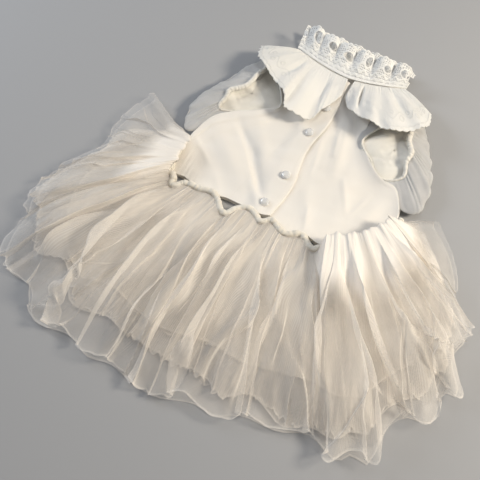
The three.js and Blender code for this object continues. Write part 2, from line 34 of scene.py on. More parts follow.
mm = 0.001
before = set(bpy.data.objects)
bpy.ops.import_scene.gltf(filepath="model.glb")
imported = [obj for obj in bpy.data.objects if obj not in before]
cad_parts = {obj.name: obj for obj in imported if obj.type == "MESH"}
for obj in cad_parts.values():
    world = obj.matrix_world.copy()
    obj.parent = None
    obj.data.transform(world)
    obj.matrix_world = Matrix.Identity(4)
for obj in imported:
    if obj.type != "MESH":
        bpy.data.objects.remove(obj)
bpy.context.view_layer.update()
print("frame loaded:", len(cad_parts), "nodes")


def mix(first, second, share):
    return first + (second - first) * share


def ramp(start, end, value):
    # 0 before start, 1 after end, and the smooth step 3t^2 - 2t^3 between them
    t = np.clip((value - start) / (end - start), 0, 1)
    return t * t * (3 - 2 * t)


def arch(share):
    # 0 at both ends and 1 half way
    return np.sin(math.pi * share)


def hill(distance, power=2):
    # exp(-|distance|^power)
    return np.exp(-(np.abs(distance) ** power))


def cubic(start, end, startSlope, endSlope, t):
    # Hermite's cubic from start to end
    return (
        (2 * t**3 - 3 * t**2 + 1) * start + (t**3 - 2 * t**2 + t) * startSlope
        + (3 * t**2 - 2 * t**3) * end + (t**3 - t**2) * endSlope
    )


def smoothRows(rows, share, closed=False):
    # Catmull-Rom: the rows stand at equal steps of share, and a cubic joins each two of them
    rows = np.array(rows, float)
    count = len(rows)
    spans = count if closed else count - 1
    place = (share % 1.0 if closed else np.clip(share, 0, 1)) * spans
    row = np.minimum(np.floor(place).astype(int), spans - 1)
    near = row[..., None] + (-1, 0, 1, 2)
    near = near % count if closed else np.clip(near, 0, spans)
    before, start, end, after = np.moveaxis(rows[near], -2, 0)
    return cubic(start, end, (end - before) / 2, (after - start) / 2, (place - row)[..., None])


def tableCurve(table, share):
    # a cubic through the rows (percent, value), its slope at each row that of the rows beside it
    places, values = np.array(table, float).T
    places = places / 100
    slopes = np.gradient(values, places)
    row = np.clip(np.searchsorted(places, share, side="right") - 1, 0, len(places) - 2)
    span = places[row + 1] - places[row]
    t = np.clip((share - places[row]) / span, 0, 1)
    return cubic(values[row], values[row + 1], span * slopes[row], span * slopes[row + 1], t)


def wander(seed, x, y=0.0):
    # a smooth uneven value from about -1 to 1: sines in seeded directions, each set finer and lower
    chance = np.random.default_rng(seed)
    total, weight = 0.0, 0.0
    for octave in range(3):
        strength = 0.6**octave
        for _ in range(3):
            angle, phase = chance.uniform(0, math.tau, 2)
            pitch = 1.8**octave * chance.uniform(0.75, 1.3)
            slope = pitch * (x * math.cos(angle) + y * math.sin(angle))
            total = total + strength * np.sin(math.tau * slope + phase)
            weight += strength
    return 1.6 * total / weight


def unit(vectors):
    return vectors / np.maximum(np.linalg.norm(vectors, axis=-1, keepdims=True), 1e-9)


def level(vectors):
    # plan vectors (x, y) as points in space at height 0
    return np.concatenate([vectors, np.zeros(vectors.shape[:-1] + (1,))], -1)


def shareGrid(columns, rows, closed=False):
    # the share across and the share along of each point of a grid
    across = np.linspace(0, 1, columns, endpoint=not closed)
    return np.meshgrid(across, np.linspace(0, 1, rows), indexing="ij")


def pathLength(path):
    # the length from the start of a path to each of its points
    return np.concatenate([[0], np.cumsum(np.linalg.norm(np.diff(path, axis=0), axis=-1))])


def meshFrom(name, points, cloth, rings=(False, False), facing="up", traits=None, keep=None):
    # a grid of points (across, down, xyz) as quads. cloth is its own size in mm each way, as one
    # length or as a place for every column or row, one more of them where rings says it closes
    across, down = points.shape[:2]
    i, j = np.meshgrid(np.arange(across - 1 + rings[0]), np.arange(down - 1 + rings[1]), indexing="ij")
    corners = [(i, j), (i + 1, j), (i + 1, j + 1), (i, j + 1)]
    quads = np.stack([(a % across) * down + b % down for a, b in corners], -1).reshape(-1, 4)
    clothX, clothY = (
        np.linspace(0, size, count + ring) if np.isscalar(size) else size
        for size, count, ring in zip(cloth, (across, down), rings)
    )
    flatCloth = np.stack([np.stack([clothX[a], clothY[b]], -1) for a, b in corners], -2).reshape(-1, 4, 2)
    places = points.reshape(-1, 3)
    used = np.arange(len(places))
    if keep is not None:
        flatCloth = flatCloth[keep.ravel()]
        used, quads = np.unique(quads[keep.ravel()], return_inverse=True)
        places, quads = places[used], quads.reshape(-1, 4)
    a, b, c, d = (places[quads[:, k]] for k in range(4))
    toward = np.array([0, 0, 1.0]) if facing == "up" else (a + c) / 2 - places.mean(0)
    if np.sum(np.cross(c - a, d - b) * toward) < 0:
        quads, flatCloth = quads[:, ::-1], flatCloth[:, ::-1]
    mesh = bpy.data.meshes.new(name)
    mesh.vertices.add(len(places))
    mesh.vertices.foreach_set("co", (places * mm).astype(np.float32).ravel())
    mesh.loops.add(quads.size)
    mesh.loops.foreach_set("vertex_index", quads.astype(np.int32).ravel())
    mesh.polygons.add(len(quads))
    mesh.polygons.foreach_set("loop_start", np.arange(0, quads.size, 4, dtype=np.int32))
    mesh.polygons.foreach_set("use_smooth", np.ones(len(quads), bool))
    uvLayer = mesh.uv_layers.new(name="cloth")
    uvLayer.data.foreach_set("uv", (flatCloth * mm).astype(np.float32).ravel())
    for trait, values in (traits or {}).items():
        layer = mesh.attributes.new(trait, "FLOAT", "POINT")
        values = np.broadcast_to(values, (across, down)).ravel()[used]
        layer.data.foreach_set("value", values.astype(np.float32))
    mesh.update(calc_edges=True)
    return mesh


def addObject(name, data):
    made = bpy.data.objects.new(name, data)
    bpy.context.scene.collection.objects.link(made)
    return made


def addPiece(name, mesh, finish, node=None, wall=0.0):
    piece = addObject(name, mesh)
    mesh.materials.append(finish)
    if wall:
        shell = piece.modifiers.new("wall", "SOLIDIFY")
        shell.thickness = wall * mm
        shell.offset = 0
    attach(piece, "root")
    if node:
        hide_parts(node)
    return piece


def addCloth(name, points, cloth, finish, slot, node=None, wall=0.0, **grid):
    return addPiece(name, meshFrom(name, points, cloth, **grid), finish, node, wall)


def addRoll(name, centre, sideways, radius, sides, finish, node, clothRadius=2.4):
    # a closed roll: the path's points, with a ring of the given radius round each of them
    travel = unit(np.roll(centre, -1, 0) - np.roll(centre, 1, 0))
    rise = unit(np.cross(travel, sideways))
    turn = np.linspace(0, math.tau, sides, endpoint=False)
    ring = np.cos(turn)[:, None] * sideways[:, None] + np.sin(turn)[:, None] * rise[:, None]
    cloth = pathLength(np.concatenate([centre, centre[:1]])), math.tau * clothRadius
    addCloth(name, centre[:, None] + radius(turn)[..., None] * ring, cloth, finish, "binding", node,
             rings=(True, True), facing="out")


def addStitches(name, paths, pitch=2.6, long=1.7, thick=0.42):
    # running stitches: an eight-sided spindle of thread every pitch along each path
    spindle = np.array([(1, 0, 0), (0, 1, 0), (0, 0, 1), (0, -1, 0), (0, 0, -1), (-1, 0, 0)]) / 2
    sides = np.array([(0, 1, 2), (0, 2, 3), (0, 3, 4), (0, 4, 1), (5, 2, 1), (5, 3, 2), (5, 4, 3), (5, 1, 4)])
    places, faces, count = [], [], 0
    for path in paths:
        along = pathLength(path)
        seats = np.arange(pitch / 2, along[-1], pitch)
        centre, beyond = (
            np.stack([np.interp(seats + step, along, path[:, k]) for k in range(3)], -1) for step in (0, 0.5)
        )
        ahead = unit(beyond - centre + 1e-6)
        sideways = unit(np.cross(np.array([0, 0, 1.0]), ahead))
        axes = np.stack([long * ahead, thick * sideways, thick * np.cross(ahead, sideways)], 1)
        places.append((centre[:, None] + spindle @ axes).reshape(-1, 3))
        faces.append(sides[None] + 6 * (count + np.arange(len(seats)))[:, None, None])
        count += len(seats)
    mesh = bpy.data.meshes.new(name)
    faces = np.concatenate(faces).reshape(-1, 3)
    mesh.from_pydata((np.concatenate(places) * mm).tolist(), [], faces.tolist())
    addPiece(name, mesh, sewingThread)


class Wire:
    # a socket that works in sums: each operator adds its Math node

    def __init__(self, tree, socket):
        self.tree, self.socket = tree, socket

    def maths(self, operation, *others):
        node = self.tree.nodes.new("ShaderNodeMath")
        node.operation = operation
        for place, value in enumerate((self, *others)):
            connect(self.tree, value, node.inputs[place])
        return Wire(self.tree, node.outputs[0])

    def __add__(self, other):
        return self.maths("ADD", other)

    def __sub__(self, other):
        return self.maths("SUBTRACT", other)

    def __rsub__(self, other):
        return self.maths("MULTIPLY", -1.0) + other

    def __mul__(self, other):
        return self.maths("MULTIPLY", other)

    __radd__ = __add__
    __rmul__ = __mul__

    def step(self, start, end):
        # 0 before start and 1 after end, smoothly
        node = self.tree.nodes.new("ShaderNodeMapRange")
        node.interpolation_type = "SMOOTHSTEP"
        for name, value in (("Value", self), ("From Min", start), ("From Max", end)):
            connect(self.tree, value, node.inputs[name])
        return Wire(self.tree, node.outputs["Result"])


def connect(tree, value, socket):
    if isinstance(value, Wire):
        tree.links.new(value.socket, socket)
    else:
        socket.default_value = value


def socketNamed(sockets, name):
    if isinstance(name, int):
        return sockets[name]
    return next(s for s in sockets if name in (s.identifier, s.name))


class Finish:
    # one material; node() makes any node from its type, settings and socket values

    def __init__(self, name):
        self.material = bpy.data.materials.new(name)
        self.material.use_nodes = True
        self.tree = self.material.node_tree
        self.tree.nodes.clear()

    def node(self, kind, settings=None, values=None, output=0):
        made = self.tree.nodes.new(kind)
        for key, value in (settings or {}).items():
            setattr(made, key, value)
        for key, value in (values or {}).items():
            connect(self.tree, value, socketNamed(made.inputs, key))
        return Wire(self.tree, socketNamed(made.outputs, output))

    def cloth(self):
        # the cloth's own millimetres, across and along
        uv = {"Vector": self.node("ShaderNodeTexCoord", output="UV")}
        return [self.node("ShaderNodeSeparateXYZ", values=uv, output=axis) * 1000.0 for axis in "XY"]

    def trait(self, name):
        return self.node("ShaderNodeAttribute", {"attribute_name": name}, output="Fac")

    def noise(self, pitch, stretch=(1, 1, 1), detail=3.0, source="Object"):
        # uneven value from 0 to 1, pitch lumps to the metre, longer where stretch is smaller
        place = self.node("ShaderNodeTexCoord", output=source)
        place = self.node("ShaderNodeMapping", values={"Vector": place, "Scale": stretch})
        return self.node("ShaderNodeTexNoise", values={"Vector": place, "Scale": pitch, "Detail": detail})

    def weave(self, threads):
        # plain weave: the product of two sines across and along the cloth, so many threads to the mm
        warp, weft = ((way * (math.pi * threads)).maths("SINE") for way in self.cloth())
        return warp * weft

    def blend(self, share, first, second):
        values = {"Factor_Float": share, "A_Color": first, "B_Color": second}
        return self.node("ShaderNodeMix", {"data_type": "RGBA"}, values, "Result_Color")

    def done(self, base, roughness, bump=None, sheen=None, through=0.0, more=None):
        # bump is its height, strength and distance, and sheen its weight and roughness; through is
        # the share of the light that passes into the cloth and out of its other side
        values = {"Base Color": base, "Roughness": roughness, **(more or {})}
        if bump:
            inputs = dict(zip(("Height", "Strength", "Distance"), bump))
            values["Normal"] = self.node("ShaderNodeBump", values=inputs)
        if sheen:
            values |= {"Sheen Weight": sheen[0], "Sheen Roughness": sheen[1], "Sheen Tint": (1, 1, 1, 1)}
        shader = self.node("ShaderNodeBsdfPrincipled", values=values)
        if through:
            lit = self.node("ShaderNodeBsdfTranslucent", values={"Color": base})
            shader = self.node("ShaderNodeMixShader", values={0: through, 1: shader, 2: lit})
        result = self.tree.nodes.new("ShaderNodeOutputMaterial")
        self.tree.links.new(shader.socket, result.inputs["Surface"])
        return self.material


def shaded(colour, share):
    return (*(share * c for c in colour[:3]), 1)


def cottonFinish(name, colour, shade, crinkle=0.35, through=0.0, stitched=False):
    finish = Finish(name)
    base = finish.blend(finish.noise(14, detail=4.0).step(0.35, 0.7), colour, shade)
    crease = finish.noise(46, (1.0, 0.7, 1.0), detail=5.0)
    height = finish.weave(2.4) * 0.25 + finish.noise(900, detail=2.0) * 0.3 + crease * crinkle * 6.0
    if stitched:
        work = finish.trait("work")
        height = height + work * 2.2
        base = finish.blend(work * 0.45, base, shaded(shade, 0.86))
    return finish.done(base, 0.85, (height, 0.55, 0.0005), (0.2, 0.45), through)


def netFinish(name, colour, cover):
    # net: three cosine waves 120 degrees apart add up to a honeycomb. Cloth that stands up or turns
    # back holds more thread over each spot of the table, so alpha = 1 - (1 - cover)^stand
    finish = Finish(name)
    across, along = finish.cloth()
    turn, tall = math.tau / netSizes["cell"], math.sqrt(3) / 2
    waves = (across * turn).maths("COSINE")
    for side in (tall, -tall):
        waves = waves + ((across * -0.5 + along * side) * turn).maths("COSINE")
    wall = 1.0 - waves.step(-0.9, 0.9)
    crumple = finish.noise(36, detail=4.0)
    strands = finish.noise(330, (1.0, 0.09, 1.0), source="UV")
    density = cover * (0.88 + wall * 0.24) * (0.82 + strands * 0.36) * finish.trait("thick")
    alpha = 1.0 - (1.0 - density).maths("MAXIMUM", 0.02).maths("POWER", finish.trait("stand"))
    alpha = (alpha + finish.trait("edge") * netSizes["edge"]).maths("MINIMUM", 1.0)
    base = finish.blend(crumple.step(0.3, 0.75), colour, shaded(colour, 0.95))
    bump = strands * 0.6 + crumple * 0.8, 0.4, 0.0012
    return finish.done(base, 0.55, bump, (0.35, 0.35), more={"Alpha": alpha, "Specular IOR Level": 0.35})


def voileFinish(name, colour, through):
    finish = Finish(name)
    crease = finish.noise(70, detail=5.0)
    base = finish.blend(crease.step(0.3, 0.7), colour, shaded(colour, 0.94))
    bump = finish.weave(2.0) * 0.3 + crease * 2.2, 0.6, 0.0006
    return finish.done(base, 0.7, bump, (0.3, 0.4), through)


def bindingFinish(name, colour, shade):
    finish = Finish(name)
    rib = (finish.cloth()[0] * 1.1 + finish.noise(60) * 6.0).maths("SINE")
    base = finish.blend(finish.noise(40, detail=4.0).step(0.3, 0.7), colour, shade)
    bump = rib * 0.5 + finish.weave(2.2) * 0.2, 0.6, 0.0005
    return finish.done(base, 0.8, bump, (0.2, 0.5), 0.12)


def laceFinish(name, colour, shade):
    # lace: a ground with small round holes in rows, closed where the motif trait is high
    finish = Finish(name)
    ground = finish.weave(1 / laceSizes["hole"]).maths("ABSOLUTE")
    solid = finish.trait("motif")
    hole = ground.step(0.55, 0.85) * (1.0 - solid)
    bump = solid * 1.4 - hole + finish.weave(2.4) * 0.2, 0.7, 0.0006
    base = finish.blend(solid, shade, colour)
    return finish.done(base, 0.85, bump, (0.2, 0.5), more={"Alpha": 1.0 - hole * laceSizes["open"]})


def buttonFinish(name):
    # clear moulded plastic, a little cloudy inside
    finish = Finish(name)
    cloud = finish.noise(300, detail=2.0).step(0.35, 0.7)
    base = finish.blend(cloud, (1.0, 0.99, 0.97, 1), (0.96, 0.955, 0.94, 1))
    return finish.done(base, 0.03, more={"IOR": 1.5, "Transmission Weight": 0.4, "Specular IOR Level": 0.7})


netSizes = {"cell": 1.0, "edge": 0.34}
laceSizes = {"hole": 2.0, "open": 0.6}

cottonWhite = cottonFinish("fine white cotton", (0.94, 0.895, 0.825, 1), (0.92, 0.87, 0.795, 1), 0.22, 0.1)
collarWhite = cottonFinish("collar cotton", (0.93, 0.91, 0.865, 1), (0.90, 0.88, 0.83, 1), 0.18, 0.15, True)
sleeveVoile = voileFinish("sleeve voile", (0.90, 0.89, 0.875, 1), 0.5)
# painted light: the sleeves' inside is the same voile, painted brighter and warmer than the outer voile to
# stand in for warm light falling into the sleeves' mouths
insideVoilePaintedLight = voileFinish("sleeve inside painted warm light", (0.98, 0.94, 0.85, 1), 0.1)
creamBinding = bindingFinish("cream casing", (0.90, 0.85, 0.75, 1), (0.86, 0.80, 0.69, 1))
cuffBinding = bindingFinish("cuff casing", (0.88, 0.85, 0.78, 1), (0.84, 0.80, 0.72, 1))
whiteLace = laceFinish("white lace", (0.93, 0.915, 0.87, 1), (0.86, 0.85, 0.82, 1))
sewingThread = cottonFinish("sewing thread", (0.86, 0.82, 0.74, 1), (0.82, 0.78, 0.70, 1))
clearPlastic = buttonFinish("clear plastic")
netFinishes = {
    "skirt_outer": netFinish("outer net", (0.95, 0.89, 0.81, 1), 0.25),
    "skirt_middle": netFinish("middle net", (0.93, 0.86, 0.77, 1), 0.32),
    "skirt_inner": netFinish("inner net", (0.91, 0.84, 0.74, 1), 0.36),
}
print("finishes made")


# shares in these tables are percent of the way round, from the left side fold to the right one
waist = {
    "rollRadius": 3.5, "rollFrontRise": 8.6, "seamGap": 0.8, "waveFade": 0.1,
    # the waist seam and the hem: waist x, y, hem x, y
    "stations": [
        (-121, 36, -180, 66), (-122, 18, -196, 0), (-119, -2, -216, -78), (-110, -12, -214, -148),
        (-92, -18, -164, -200), (-55, -23, -93, -214), (-12, -25, -22, -217), (28, -24, 48, -211),
        (66, -18, 120, -199), (92, -5, 182, -181), (111, 14, 225, -108), (122, 31, 209, -32),
        (123, 42, 152, 50),
    ],
    # how far the gathered roll strays out past the seam, in mm
    "rollWave": [
        (0, 0), (4, 2), (8, -2), (12, 1.5), (16, -2), (20.4, 1.4), (24.5, -1.5), (27.7, 3), (28.8, 6.5),
        (30, 7.5), (31.1, 5), (32.1, -1), (34.3, -5.3), (36.1, -6.1), (37.8, -8.2), (39.4, -10.2),
        (41.2, -8.5), (42.5, -3.5), (43.6, 2.5), (44.5, 5), (45.3, 3.8), (46.1, -4), (47, -10),
        (48.1, -12.5), (49.4, -11.5), (50.7, -7.5), (51.8, -4.5), (52.6, -6), (53.6, -10), (54.8, -9),
        (56.2, -4.5), (57.9, -2), (59.1, -3.1), (60.4, -6.2), (61.5, -6), (62.6, -1), (63.5, 4),
        (64.5, 6), (65.6, 3.5), (68.1, 0.5), (70, -2.5), (73, 2), (76, -2), (79, 2), (83, -1.5),
        (87, 2), (91, -2), (95, 1.5), (100, 0),
    ],
    # how far the bodice's hem strays past the seam; it meets the roll except in four places
    "hemWave": [
        (0, -3), (19.3, -2), (24.2, -6.6), (30.2, -10.1), (34.2, -8.5), (36.8, -8), (40.3, -10),
        (43, -14.5), (44.9, -14.4), (46.5, -14.5), (48.2, -15), (50.2, -12), (51.6, -12.5),
        (53.3, -15.5), (55.7, -10.5), (57.6, -5), (59.2, -6), (62.1, -9), (64.1, -4.7), (65.6, -2.5),
        (68.1, -2.5), (75, -3), (100, -3),
    ],
    # how far each lobe of the skirt's hem stands out past its line
    "hemLobes": [
        (0, 6), (4, 9), (6.5, 8), (10, -2), (12.5, 10), (18.4, 13), (21.2, 1), (24.1, 5), (27.9, 8),
        (32.5, -11), (35.2, 3), (40.3, -4), (43, 3), (45.6, -2), (49, 4), (51.5, 6), (56.2, -1),
        (58, 3), (60.6, -5), (64.5, -2), (68.1, -6), (71.2, 7), (72.7, 0), (74.4, 8), (76.7, -16),
        (78.9, -15), (80.7, 2), (83, -9), (85.1, 7), (86.4, -12), (88, -7), (90.5, 9), (92.1, 16),
        (93.6, 3), (95.2, 13), (96.6, 17), (98.2, 15), (100, 8),
    ],
}

# folds: share at the waist, at the hem, start and end along the length, all percent; half width
# and height at the hem in mm; lean toward the right. "strips" are flat folded-over bands
tiers = {
    "skirt_outer": {
        "layer": 2, "columns": 1060, "rows": 78, "gathers": 44, "gatherHeight": 1.9, "floor": 16.0,
        "hemFloor": 2.2, "puff": 5.0, "seed": 11, "minor": 38, "cut": (1.55, 0.19), "thin": 0.74,
        "curl": 1.7, "backReach": 22.0, "backRise": 12.0,
        "lengths": [(0, 100), (50, 100), (100, 100)],
        "folds": [
            (0.4, 2, 10, 85, 5, 6, -0.9), (6.6, 4, 5, 100, 6, 9, 1), (9, 2.6, 25, 100, 4, 6, -0.8),
            (11, 8.8, 0, 100, 8, 9, -0.9), (15, 12.8, 5, 100, 10, 11, 0.8),
            (18.5, 15.6, 10, 100, 7, 8, -0.9), (22.4, 19, 0, 100, 11, 15, 1),
            (25, 22.8, 20, 90, 6, 8, -0.8), (27.6, 25.8, 0, 100, 11, 16, 1),
            (28.4, 32.2, 30, 100, 7, 8, -0.8), (29, 38.8, 0, 100, 11, 22, -1.2),
            (37.5, 42.8, 0, 100, 9, 17, -1), (40.8, 44.8, 15, 100, 6, 8, 0.8),
            (43.8, 47.2, 0, 95, 10, 16, 1), (46.8, 49.4, 18, 100, 8, 13, 0.9),
            (49.8, 51.8, 0, 100, 7, 8, -0.8), (52.2, 54.5, 0, 100, 10, 18, -1),
            (55.6, 57.4, 10, 100, 7, 8, 0.9), (58.8, 60.2, 0, 100, 12, 11, 0.7),
            (62.2, 63.6, 5, 100, 9, 9, -0.9), (64, 67.2, 0, 100, 9, 11, 0.9),
            (65.8, 71.4, 0, 100, 12, 18, -1), (68, 75.2, 10, 100, 12, 17, 1),
            (72.8, 79.6, 0, 100, 11, 17, -1), (77.5, 81.8, 10, 100, 8, 10, 0.8),
            (81.3, 84.2, 0, 100, 10, 15, -0.9), (82.6, 86.2, 10, 100, 7, 9, 0.8),
            (85.5, 91.4, 0, 100, 11, 16, 1), (90.5, 94.5, 10, 100, 7, 8, -0.9),
            (95.5, 97.5, 5, 100, 6, 6, 0.8),
        ],
        "strips": [
            (47, 33.5, 50, 100, 7, 4.5, 0.9), (52, 35.2, 60, 100, 5, 4, -0.9),
            (30, 25.2, 45, 100, 7, 4, 0.9), (43, 44, 30, 100, 9, 4, 0.9), (47, 49, 0, 100, 9, 5, -0.9),
            (49, 55.6, 50, 100, 8, 4.5, -1), (54, 58.5, 10, 100, 10, 5, 1),
            (61, 62.2, 0, 100, 11, 5, -1), (65, 65.5, 35, 100, 9, 4, 1), (69, 73, 40, 100, 9, 4, 0.9),
            (74, 77.5, 10, 100, 10, 5, 1), (80, 80.5, 45, 100, 8, 4, -0.9),
            (85, 88.5, 20, 100, 9, 4.5, 1), (90.5, 93, 30, 100, 7, 4, -0.9),
            (33, 30, 20, 100, 9, 4, -1), (20, 20.5, 40, 100, 8, 4, 0.9), (13, 11, 25, 100, 8, 4, -1),
            (8.5, 6.2, 30, 100, 5, 4, 0.9), (6, 0.5, 15, 90, 4, 4, 0.9),
            (34.5, 37.2, 10, 100, 9, 4.5, 1), (38.5, 40.5, 55, 100, 6, 4, -0.9),
            (56, 53, 55, 100, 7, 4, 0.9), (70, 69, 5, 100, 9, 5, -1), (76, 83.5, 45, 100, 6, 4, 1),
            (70, 87, 35, 100, 6, 4.5, 1), (93, 81.5, 40, 100, 5, 4.5, -1),
            (66, 77.5, 35, 100, 6, 4, 0.8), (80, 71.5, 60, 100, 5, 4, -0.8),
            (60, 65.5, 50, 100, 5, 4, 0.8), (40, 47, 45, 100, 5, 4, 0.9),
        ],
    },
    "skirt_middle": {
        "layer": 1, "columns": 760, "rows": 60, "gathers": 38, "gatherHeight": 1.2, "floor": 10.0,
        "hemFloor": 2.6, "puff": 0.0, "seed": 23, "minor": 30, "cut": (1.2, 0.155), "thin": 0.95,
        "curl": 3.2, "backReach": 14.0, "backRise": 8.5,
        "lengths": [
            (0, 30), (3, 38), (4.8, 62), (6.4, 88), (9, 95), (13, 96), (16.5, 98), (22, 90), (25.5, 84),
            (28.5, 84), (30.3, 76), (32.6, 74.5), (35.1, 78.5), (37.2, 84), (39.4, 84.5), (41.9, 80),
            (44.5, 82.5), (50, 83), (54.6, 84.5), (57.1, 88.5), (58.9, 91), (61, 87.5), (62.8, 91.5),
            (64.5, 97), (68, 96), (73, 90), (78, 88), (83, 86), (90, 86), (95, 78), (100, 60),
        ],
        "folds": [
            (10, 8, 10, 100, 7, 6, 0.8), (13, 12, 0, 100, 8, 8, -0.8), (20, 17.5, 0, 100, 9, 9, 0.9),
            (26.2, 24, 10, 100, 8, 8, -0.9), (32, 31, 0, 100, 8, 9, 0.9), (38.5, 40, 0, 100, 8, 8, 0.9),
            (45.5, 46.5, 0, 100, 8, 9, -0.9), (51, 52, 0, 100, 8, 8, 0.9),
            (56.5, 58, 0, 100, 8, 9, -0.9), (63, 64, 0, 100, 9, 8, 0.9), (69, 70, 0, 100, 8, 9, -0.9),
            (75, 76.5, 0, 100, 9, 9, 0.9), (81, 83, 0, 100, 8, 8, -0.9), (87, 88.5, 0, 100, 8, 8, 0.9),
            (93, 94, 10, 100, 7, 5, -0.8), (30, 26, 30, 100, 5, 5, -0.8), (42, 36, 35, 100, 5, 5, 0.9),
            (50, 55, 30, 100, 5, 6, -0.9), (60, 67, 30, 100, 6, 6, 0.9), (80, 79, 20, 100, 6, 6, 0.9),
        ],
        "strips": [],
    },
    "skirt_inner": {
        "layer": 0, "columns": 480, "rows": 40, "gathers": 30, "gatherHeight": 0.8, "floor": 6.0,
        "hemFloor": 2.4, "puff": 0.0, "seed": 37, "minor": 26, "cut": (1.05, 0.12), "thin": 1.0,
        "curl": 2.0, "backReach": 0.0, "backRise": 0.0,
        "lengths": [
            (0, 35), (5, 45), (9, 62), (14, 72), (20, 70), (26, 66), (32, 71), (40, 67), (47, 72),
            (54, 69), (60, 73), (65, 72), (72, 75), (80, 70), (88, 70), (95, 60), (100, 45),
        ],
        "folds": [
            (9, 8, 10, 100, 7, 3, 0.8), (17, 15, 0, 100, 8, 4.2, -0.8), (24, 22, 0, 100, 8, 4.4, 0.8),
            (35, 34.5, 0, 100, 8, 4.2, 0.9), (42, 43, 0, 100, 7, 4.4, -0.8),
            (48.5, 49, 0, 100, 8, 4.2, 0.8), (54.5, 55, 0, 100, 8, 4.4, -0.8),
            (60, 61, 0, 100, 7, 4.2, 0.8), (66, 67, 0, 100, 8, 4.4, 0.8),
            (72, 73.5, 0, 100, 8, 4.2, -0.8), (79, 80, 0, 100, 8, 4.4, 0.9),
            (85, 86, 10, 100, 7, 3.6, -0.8),
        ],
        "strips": [],
    },
}
tube = {"tableGap": 0.5, "seamRise": 4.6, "sideSteps": 7, "backColumns": 110, "frontShare": 0.6}


def waistPoint(share):
    return smoothRows(waist["stations"], share)[..., :2]


def waistOutward(share):
    travel = waistPoint(np.minimum(1, share + 0.01)) - waistPoint(np.maximum(0, share - 0.01))
    return unit(np.stack([travel[..., 1], -travel[..., 0]], -1))


def besideWaist(share, distance):
    return waistPoint(share) + waistOutward(share) * distance[..., None]


def rollWave(share):
    return tableCurve(waist["rollWave"], share)


def skirtPlan(share, length):
    # a straight run from the waist seam to the hem, with the hem's lobes growing along it; below
    # the roll the cloth first follows the roll's waves, which die away within waveFade
    outward = waistOutward(share)
    start = waistPoint(share) + outward * (waist["rollRadius"] + waist["seamGap"])
    run = smoothRows(waist["stations"], share)[..., 2:] - start
    lobe = tableCurve(waist["hemLobes"], share) * length**5
    stretch = length + lobe / np.linalg.norm(run, axis=-1)
    wave = rollWave(share) * np.exp(-length / waist["waveFade"])
    return start + run * stretch[..., None] + outward * wave[..., None]


def tierLength(tier, share):
    return tableCurve(tier["lengths"], share) / 100


def tierRadius(tier, length):
    return 1.0 + tier["layer"] * mix(1.8, 3.4, length)


def flatRise(tier, length, side):
    # height of a tier's front (side 1) or back (side -1) where the nested tubes lie flat
    outer, own = tierRadius(tiers["skirt_outer"], length), tierRadius(tier, length)
    return tube["tableGap"] + outer + side * own


def overRoll(share):
    # where the net is puffed back over the roll and the bodice's hem: on the right, less on the left
    right = ramp(0.645, 0.668, share) * (1 - ramp(0.95, 0.995, share))
    left = 0.95 * ramp(-0.03, 0.03, share) * (1 - ramp(0.20, 0.26, share))
    return (right + left) * (1 + 0.1 * wander(19, share * 20))


def foldsOf(tier):
    # the folds of the two tables, and smaller ones at seeded places
    names = ("waist", "hem", "start", "end", "width", "height", "lean", "edge")
    folds = []
    for rows, edge in ((tier["folds"], 1.6), (tier["strips"], 5.0)):
        for row in rows:
            shares = [value / 100 for value in row[:4]]
            folds.append(dict(zip(names, (*shares, *row[4:], edge))))
    chance = np.random.default_rng(tier["seed"])
    top = max(row[5] for row in tier["folds"])
    for _ in range(tier["minor"]):
        hem = chance.uniform(0.02, 0.98)
        start = chance.choice([0.0, 0.1, 0.3, 0.5])
        folds.append({
            "waist": hem + chance.normal(0, 0.022) + 0.02 * (0.5 - hem), "hem": hem, "start": start,
            "end": min(1.0, start + chance.uniform(0.35, 0.9)), "width": chance.uniform(2.8, 6.5),
            "height": chance.uniform(0.10, 0.30) * top, "lean": chance.uniform(-1.1, 1.1),
            "edge": chance.choice([1.5, 1.5, 5.0]),
        })
    return folds


